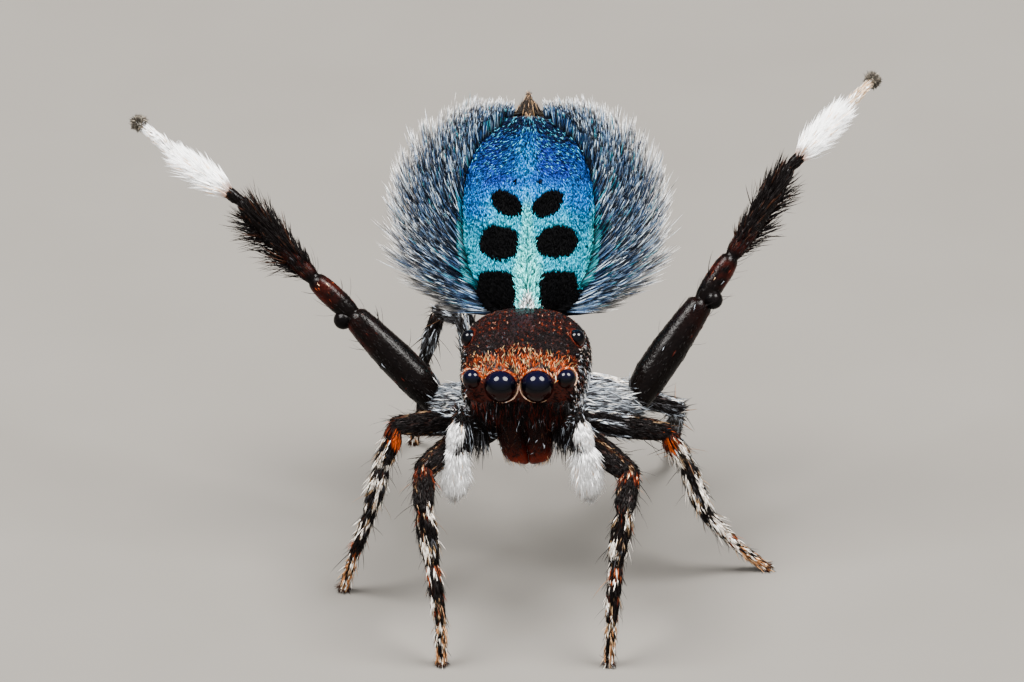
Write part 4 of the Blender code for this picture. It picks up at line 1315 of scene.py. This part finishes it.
def add_raised_leg(side):
    """Third leg, glossy and near black, with a black comb, a white brush and a pale foot."""
    joints = leg_joints(3, side)
    name = f"leg3_{side}"

    def tint(points, normals, marks):
        # dark red near the femur's far end, on the patella and at the tibia's base, most on the lower
        # side: painted glow of light through the thin chitin
        lower = ease(0.2, -0.5, normals[:, 2])
        red = ease(1.60, 1.9, marks) * ease(2.02, 1.96, marks) * (0.04 + 0.96 * lower)
        patella = ease(2.30, 2.60, marks) * ease(2.95, 2.80, marks) * (0.30 + 0.70 * lower)
        tibia = ease(3.02, 3.1, marks) * ease(3.45, 3.2, marks) * 0.3
        red = np.maximum(np.maximum(red, patella), tibia)
        colour = blend((0.0014, 0.0009, 0.0008), (0.050, 0.0045, 0.0018), red * mottle(points, 0.18, 14))
        colour = blend(colour, (0.11, 0.115, 0.125), ease(1.04, 0.94, marks))
        return blend(colour, (0.40, 0.24, 0.12), 0.8 * ease(5.0, 5.2, marks))

    knob = ball_skin(joints[2] + KNOB_OFFSETS[side], KNOB_RADIUS)
    knob.add(f"knob_{name}", FINISHES["gloss"], "leg_dark", plain(SOOT))
    skin = add_leg_skin(name, 3, joints, RAISED_LEG_INSET, "gloss", "leg_dark", tint)
    dark = Coat(name)
    grow_femur_hair(dark, skin)
    grow_tibia_comb(dark, skin)
    dark.cover(skin, HAIRS["bristles"], ((1.0, BLACK),), 0.24, 0.010, by_mark((1.35, 1.6), (3.2, 3.0)),
               lift=55.0, spread=18.0, curl=-0.35, shape=BRISTLE)
    foot_mix = ((0.6, (0.022, 0.019, 0.015)), (0.4, (0.11, 0.10, 0.08)))
    grow_claws(dark, joints, 0.085, foot_mix, HAIRS["raised claws"])
    grow_foot_ball(dark, joints)
    dark.add(f"coat_{name}_dark", FINISHES["hair"], "leg_dark")
    brush = Coat(f"{name} brush")
    grow_white_brush(brush, skin, side)
    brush.add(f"coat_{name}_white", FINISHES["white_hair"], "white_hair")


def grow_femur_hair(coat, skin):
    """Short dark hair on the glossy stretch with an orange patch near its end, white at its root."""
    draw, count = coat.draw, HAIRS["femur"]
    roots = skin.roots(count, draw, by_mark((3.0, 2.7)))
    tints = pick(draw, count, ((0.95, BLACK), (0.04, RED_BROWN), (0.01, SILVER)))
    above = roots.normal[:, 2] > 0.1
    patch = (roots.mark > 2.40) & (roots.mark < 2.85) & above & (draw.random(count) < 0.30)
    tints[patch] = pick(draw, int(patch.sum()), ((0.6, RUST), (0.2, ORANGE), (0.2, CREAM)))
    coat.grow(roots, roots.along, shaded(tints, 0.7), 0.070, 0.009, lift=9.0, spread=9.0)
    count = HAIRS["leg base"]
    base = skin.roots(count, draw, by_mark((1.02, 0.95)))
    tints = pick(draw, count, ((0.22, WHITE), (0.46, SILVER), (0.32, GREY)))
    tints = tints * (1.0 - 0.55 * ease(0.35, 0.95, base.mark))[:, None]
    coat.grow(base, base.along, shaded(tints, 0.7), 0.16, 0.015, lift=18.0, spread=14.0)


def grow_tibia_comb(coat, skin):
    """Black spikes on the tibia: a long comb below, a shorter one above, flat hair between."""
    draw, count = coat.draw, HAIRS["comb"]

    def lower(points, normals, marks):
        return ease(3.03, 3.10, marks) * (marks < 3.82) * ease(-0.30, -0.70, normals[..., 2])

    def upper(points, normals, marks):
        return ease(3.05, 3.20, marks) * (marks < 3.86) * ease(0.25, 0.65, normals[..., 2])

    def tibia(points, normals, marks):
        return (marks > 3.02) & (marks < 4.25)

    roots = skin.roots(count, draw, lower)
    tints = pick(draw, count, ((0.90, BLACK), (0.10, BROWN)))
    length = 0.15 + 0.22 * ease(3.0, 3.30, roots.mark) - 0.06 * ease(3.6, 3.8, roots.mark)
    lift = 44.0 + 28.0 * (roots.mark * 15.0 % 1.0 - 0.5)
    coat.grow(roots, roots.along, shaded(tints), length, 0.0165, lift=lift, spread=3.0,
              curl=-0.12, shape=BRISTLE, vary=0.12)
    roots = skin.roots(count, draw, upper)
    tints = pick(draw, count, ((0.94, BLACK), (0.06, BROWN)))
    length = 0.14 + 0.17 * ease(3.15, 3.50, roots.mark)
    lift = 27.0 + 22.0 * (roots.mark * 10.0 % 1.0 - 0.5)
    coat.grow(roots, roots.along, shaded(tints), length, 0.0165, lift=lift, spread=3.0,
              curl=-0.10, shape=BRISTLE, vary=0.12)
    coat.cover(skin, HAIRS["tibia"], ((0.88, BLACK), (0.09, BROWN), (0.03, GREY)), 0.075, 0.012, tibia,
               lift=9.0, spread=8.0)


def grow_white_brush(coat, skin, side):
    """Dense white hair from the far part of the metatarsus, brown at its roots, and a pale foot."""
    draw, count = coat.draw, HAIRS["brush"]
    roots = skin.roots(count, draw, by_mark((4.16, 4.24), (4.98, 4.90)))
    tints = pick(draw, count, ((0.94, WHITE), (0.06, CREAM)))
    rooted = blend(tints * 0.9, (0.42, 0.15, 0.04), ease(4.40, 4.18, roots.mark))
    stops = ((0.0, rooted), (0.22, blend(rooted, tints, 0.4)), (0.40, tints), (1.0, tints))
    length = 0.27 - 0.05 * ease(4.4, 4.95, roots.mark)
    coat.grow(roots, roots.along, stops, length, 0.016, lift=24.0, spread=9.0, curl=-0.12)
    whiteness, count = PALE_FEET[side]
    roots = skin.roots(count, draw, by_mark((4.95, 5.0), (5.95, 5.85)))
    tints = pick(draw, count, (
        (whiteness, WHITE), (1.0 - whiteness, (0.40, 0.27, 0.15)), (0.08, BROWN)
    ))
    length = 0.14 - 0.06 * ease(5.2, 5.8, roots.mark)
    stops = ((0.0, tints * 0.75), (0.4, tints), (1.0, tints))
    coat.grow(roots, roots.along, stops, length, 0.013, lift=18.0, spread=9.0)


def add_palps():
    """Feelers with dark arms and a dense white brush on the outer half."""
    corners = (PALP_ROOT, PALP_ELBOW, PALP_WRIST, PALP_TIP)
    profiles = (
        ((0.0, 0.9), (0.4, 1.0), (1.0, 0.9)),
        ((0.0, 0.95), (0.55, 1.05), (1.0, 1.0)),
        ((0.0, 0.90), (0.25, 1.20), (0.55, 1.35), (0.80, 1.25), (0.95, 0.85), (1.0, 0.45)),
    )
    widths = (PALP_ARM_HALF_WIDTH, PALP_ARM_HALF_WIDTH, PALP_CORE_HALF_WIDTH)

    def tint(points, normals, marks):
        return blend((0.004, 0.003, 0.003), (0.80, 0.78, 0.75), ease(1.25, 1.45, marks))

    for side, sign in SIDES.items():
        joints = np.array([in_head(sign * x, y, z) for x, y, z in corners])
        skin = limb_skin(joints, widths, profiles, PALP_INSET)
        piece = skin.add(f"skin_palp_{side}", FINISHES["flesh"], "white_hair", tint)
        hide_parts(f"palp_{side}_arm", f"palp_{side}_brush")
        arm = Coat(f"palp arm {side}")
        grow_palp_arm(arm, skin, sign)
        arm.add(f"coat_palp_{side}_dark", FINISHES["hair"], "leg")
        brush = Coat(f"palp brush {side}")
        grow_palp_brush(brush, skin, sign)
        brush.add(f"coat_palp_{side}_white", FINISHES["white_hair"], "white_hair")


def grow_palp_arm(coat, skin, sign):
    """Dark hair of the arm, and long dark hair on the brush's inner side."""

    def inner(points, normals, marks):
        return ease(0.2, 0.5, marks) * ease(0.3, -0.4, normals[..., 0] * sign) * ease(1.9, 1.5, marks)

    draw = coat.draw
    coat.cover(skin, HAIRS["palp arm"], ((0.84, BLACK), (0.10, BROWN), (0.06, SILVER)), 0.13, 0.012,
               by_mark((1.35, 1.1)), 0.6, lift=24.0, spread=14.0)
    count = HAIRS["palp inner"]
    roots = skin.roots(count, draw, inner)
    tints = pick(draw, count, ((0.84, BLACK), (0.10, GREY), (0.06, SILVER)))
    way = unit(places(0.10 * sign - 0.2 * roots.normal[:, 0], -0.2, -1.0)) + 0.25 * roots.normal
    length = 0.30 * draw.uniform(0.7, 1.2, count)
    coat.grow(roots, way, shaded(tints, 0.6), length, 0.011, spread=9.0, curl=0.0, shape=LONG_HAIR,
              lie_flat=False)


def grow_palp_brush(coat, skin, sign):
    """White hair, dense and nearly flat, with a few thin grey tips below."""

    def upper(points, normals, marks):
        outer = ease(-0.95, -0.45, normals[..., 0] * sign)
        return ease(1.20, 1.35, marks) * ease(2.0, 1.95, marks) * outer

    def lower(points, normals, marks):
        return ease(1.98, 2.04, marks) * ease(2.97, 2.90, marks) * (1.0 + 1.5 * ease(2.4, 2.8, marks))

    white = ((0.96, WHITE), (0.04, CREAM))
    coat.cover(skin, HAIRS["palp upper"], white, 0.13, 0.018, upper, 0.9, lift=22.0, spread=10.0)
    draw, count = coat.draw, HAIRS["palp lower"]
    roots = skin.roots(count, draw, lower)
    tints = pick(draw, count, white)
    tip = blend(tints, (0.15, 0.14, 0.13), ease(2.66, 2.86, roots.mark) * 0.9)
    end = ease(2.5, 2.9, roots.mark)
    stops = ((0.0, tints * 0.95), (0.25, tints), (0.60, tip))
    coat.grow(roots, roots.along, stops, 0.19 - 0.03 * end, 0.020, lift=30.0 - 13.0 * end,
              spread=7.0, curl=-0.25)


def grow_tail_tufts(coat):
    """Dark hair from both sides of the abdomen's end that leans in over the spinnerets."""
    draw, count = coat.draw, HAIRS["tail tufts"]
    sign = draw.choice((-1.0, 1.0), count)
    share = draw.random(count)
    x = sign * (0.07 + 0.125 * share)
    y = 0.10 + draw.normal(0, 0.02, count)
    roots = loose_roots(places(x, y, PLATE_LENGTH * 0.985 - 0.035 * share), 0.5 + x, 0.5 + y)
    way = unit(places(-sign * (0.30 + 0.55 * share), 0.35, 1.0))
    tints = pick(draw, count, ((0.66, (0.004, 0.003, 0.0025)), (0.28, (0.016, 0.012, 0.010)), (0.06, TAN)))
    coat.grow(roots, way, shaded(tints), 0.21 - 0.02 * share, 0.013, spread=5.0, curl=0.0,
              lie_flat=False, matrix=ABDOMEN)


def add_tail_and_waist():
    """Spinnerets with their short fur at the abdomen's end, and the bare waist."""

    def tail_tint(points, normals, marks):
        return blend((0.010, 0.006, 0.004), BEIGE, ease(0.80, 1.0, marks))

    def straight_skin(start, end, radius, middle, tip, inset):
        profile = ((0.0, 1.0), (0.5, middle), (1.0, tip))
        return limb_skin(np.array((start, end)), (radius,), (profile,), inset)

    def in_abdomen(share_back, height):
        return np.array(ABDOMEN @ Vector((0.0, ABDOMEN_DEPTH * share_back, height)))

    top = PLATE_LENGTH * 0.97
    base, tip = in_abdomen(0.26, top), in_abdomen(0.28, top + SPINNERET_LENGTH * 0.85)
    cone = straight_skin(base, tip, SPINNERET_RADIUS, 0.8, 0.4, TAIL_INSET)
    piece = cone.add("skin_spinnerets", FINISHES["flesh"], "leg", tail_tint)
    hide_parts("spinnerets")
    coat = Coat("spinnerets")
    draw, count = coat.draw, HAIRS["spinnerets"]
    roots = cone.roots(count, draw)
    tints = pick(draw, count, ((0.44, (0.07, 0.052, 0.040)), (0.40, EARTH), (0.16, BEIGE)))
    lift = 30.0 * ease(0.7, 0.0, roots.mark) + 8.0
    coat.grow(roots, roots.along, shaded(tints, 0.6), 0.085, 0.010, lift=lift, spread=12.0)
    grow_tail_tufts(coat)
    coat.add("coat_spinnerets", FINISHES["hair"], "leg")
    foot = in_abdomen(0.19, PLATE_LENGTH * 0.02 + 0.03)
    waist = straight_skin(in_head(0.0, 0.93, -0.06), foot, PEDICEL_RADIUS, 0.8, 1.0, WAIST_INSET)
    piece = waist.add("skin_pedicel", FINISHES["chitin"], "face", plain((0.05, 0.025, 0.018)))
    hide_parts("pedicel")


# Camera: the photo's scale and angle, and the photo's pixel that the head's front falls on
PIXEL = 0.0114
CAMERA_ELEVATION = 30.0
CAMERA_DISTANCE = 120.0
FRONT_OF_HEAD = (0.0, -0.93, 0.42)
FRONT_OF_HEAD_PIXEL = (519.0, 386.7)
PICTURE = (1024, 682)
SENSOR = 36.0
# Studio: strength of the room behind and before the model, and lights in watts and millimetres
ROOM_COLOUR = (0.88, 0.90, 0.94, 1)
ROOM_DIM = 0.20
ROOM_BRIGHT = 1.05
LIGHT_DISTANCE = 110.0
SOFT_BOX_WATTS = 0.52
SOFT_BOX_SIZE = 56.0
SOFT_BOX_COLOUR = (1.0, 0.98, 0.95)
FILL_WATTS = 0.13
FILL_SIZE = 50.0
FILL_COLOUR = (1.0, 0.98, 0.96)
# Floor: half its side in metres, and its two shades
FLOOR_HALF = 1.5
FLOOR_SHADES = ((0.082, 0.0755, 0.0665, 1), (0.098, 0.0905, 0.0805, 1))


def add_camera():
    """Camera at the photo's angle; gives its aim and its right, up and back directions."""
    lean = math.radians(CAMERA_ELEVATION)
    right, up = Vector((1, 0, 0)), Vector((0, math.sin(lean), math.cos(lean)))
    back = Vector((0, -math.cos(lean), math.sin(lean)))
    aim = HEAD @ Vector(FRONT_OF_HEAD)
    aim += right * ((PICTURE[0] / 2 - FRONT_OF_HEAD_PIXEL[0]) * PIXEL)
    aim -= up * ((PICTURE[1] / 2 - FRONT_OF_HEAD_PIXEL[1]) * PIXEL)
    data = bpy.data.cameras.new("camera")
    data.sensor_width = SENSOR
    data.lens = SENSOR * CAMERA_DISTANCE / (PICTURE[0] * PIXEL)
    data.clip_start = 0.002
    data.clip_end = 20.0
    camera = bpy.data.objects.new("camera", data)
    bpy.context.scene.collection.objects.link(camera)
    place = (aim + back * CAMERA_DISTANCE) * MM + Vector(SHIFT)
    turn = Matrix((right, up, back)).transposed().to_4x4()
    camera.matrix_world = Matrix.Translation(place) @ turn
    bpy.context.scene.camera = camera
    return aim, right, up, back


def add_light(name, target, way, size, watts, colour):
    """Round lamp that looks at the target from the direction given."""
    data = bpy.data.lights.new(name, "AREA")
    data.shape = "DISK"
    data.size = size * MM
    data.energy = watts
    data.color = colour
    light = bpy.data.objects.new(name, data)
    bpy.context.scene.collection.objects.link(light)
    place = (target + way.normalized() * LIGHT_DISTANCE) * MM + Vector(SHIFT)
    turn = way.to_track_quat("Z", "Y").to_matrix().to_4x4()
    light.matrix_world = Matrix.Translation(place) @ turn
    return light


def add_floor():
    """Plain pale floor with faint soft mottling."""
    mesh = bpy.data.meshes.new("floor")
    corners = [(x * FLOOR_HALF, y * FLOOR_HALF, 0) for x, y in ((-1, -1), (1, -1), (1, 1), (-1, 1))]
    mesh.from_pydata(corners, [], [(0, 1, 2, 3)])
    floor = bpy.data.objects.new("floor", mesh)
    bpy.context.scene.collection.objects.link(floor)
    material = bpy.data.materials.new("floor")
    material.use_nodes = True
    nodes, links = material.node_tree.nodes, material.node_tree.links
    noise = nodes.new("ShaderNodeTexNoise")
    set_inputs(noise, Scale=400.0)
    ramp = nodes.new("ShaderNodeValToRGB")
    for element, shade in zip(ramp.color_ramp.elements, FLOOR_SHADES):
        element.color = shade
    place = nodes.new("ShaderNodeTexCoord")
    links.new(place.outputs["Object"], noise.inputs["Vector"])
    links.new(noise.outputs["Fac"], ramp.inputs["Fac"])
    shader = nodes["Principled BSDF"]
    links.new(ramp.outputs["Color"], shader.inputs["Base Color"])
    set_inputs(shader, Roughness=0.9)
    mesh.materials.append(material)


def light_studio(aim, right, up, back):
    """A dim room that is brighter in front of the model, two soft boxes over it and a weak fill."""
    world = bpy.data.worlds.new("studio")
    world.use_nodes = True
    nodes, links = world.node_tree.nodes, world.node_tree.links
    background = nodes["Background"]
    set_inputs(background, Color=ROOM_COLOUR)
    outlook = nodes.new("ShaderNodeTexCoord")
    front = nodes.new("ShaderNodeVectorMath")
    front.operation = "DOT_PRODUCT"
    front.inputs[1].default_value = tuple((back + up * 0.10).normalized())
    links.new(outlook.outputs["Generated"], front.inputs[0])
    glow = nodes.new("ShaderNodeMapRange")
    glow.interpolation_type = "SMOOTHSTEP"
    set_inputs(glow, From_Min=-0.3, To_Min=ROOM_DIM, To_Max=ROOM_BRIGHT)
    links.new(front.outputs["Value"], glow.inputs["Value"])
    links.new(glow.outputs["Result"], background.inputs["Strength"])
    bpy.context.scene.world = world
    for name, aside in (("soft_box_left", -0.52), ("soft_box_right", 0.52)):
        way = back * 0.52 + up * 0.86 + right * aside
        add_light(name, aim, way, SOFT_BOX_SIZE, SOFT_BOX_WATTS, SOFT_BOX_COLOUR)
    fill = add_light("fill", aim, back - up * 0.10, FILL_SIZE, FILL_WATTS, FILL_COLOUR)
    fill.visible_glossy = False


add_prosoma()
add_eyes()
add_chelicerae()
add_palps()
add_abdomen()
for side_name, side_sign in SIDES.items():
    add_fringe(side_name, side_sign)
    add_raised_leg(side_name)
    for leg_number in (1, 2, 4):
        add_walking_leg(leg_number, side_name)
add_tail_and_waist()
add_floor()
light_studio(*add_camera())
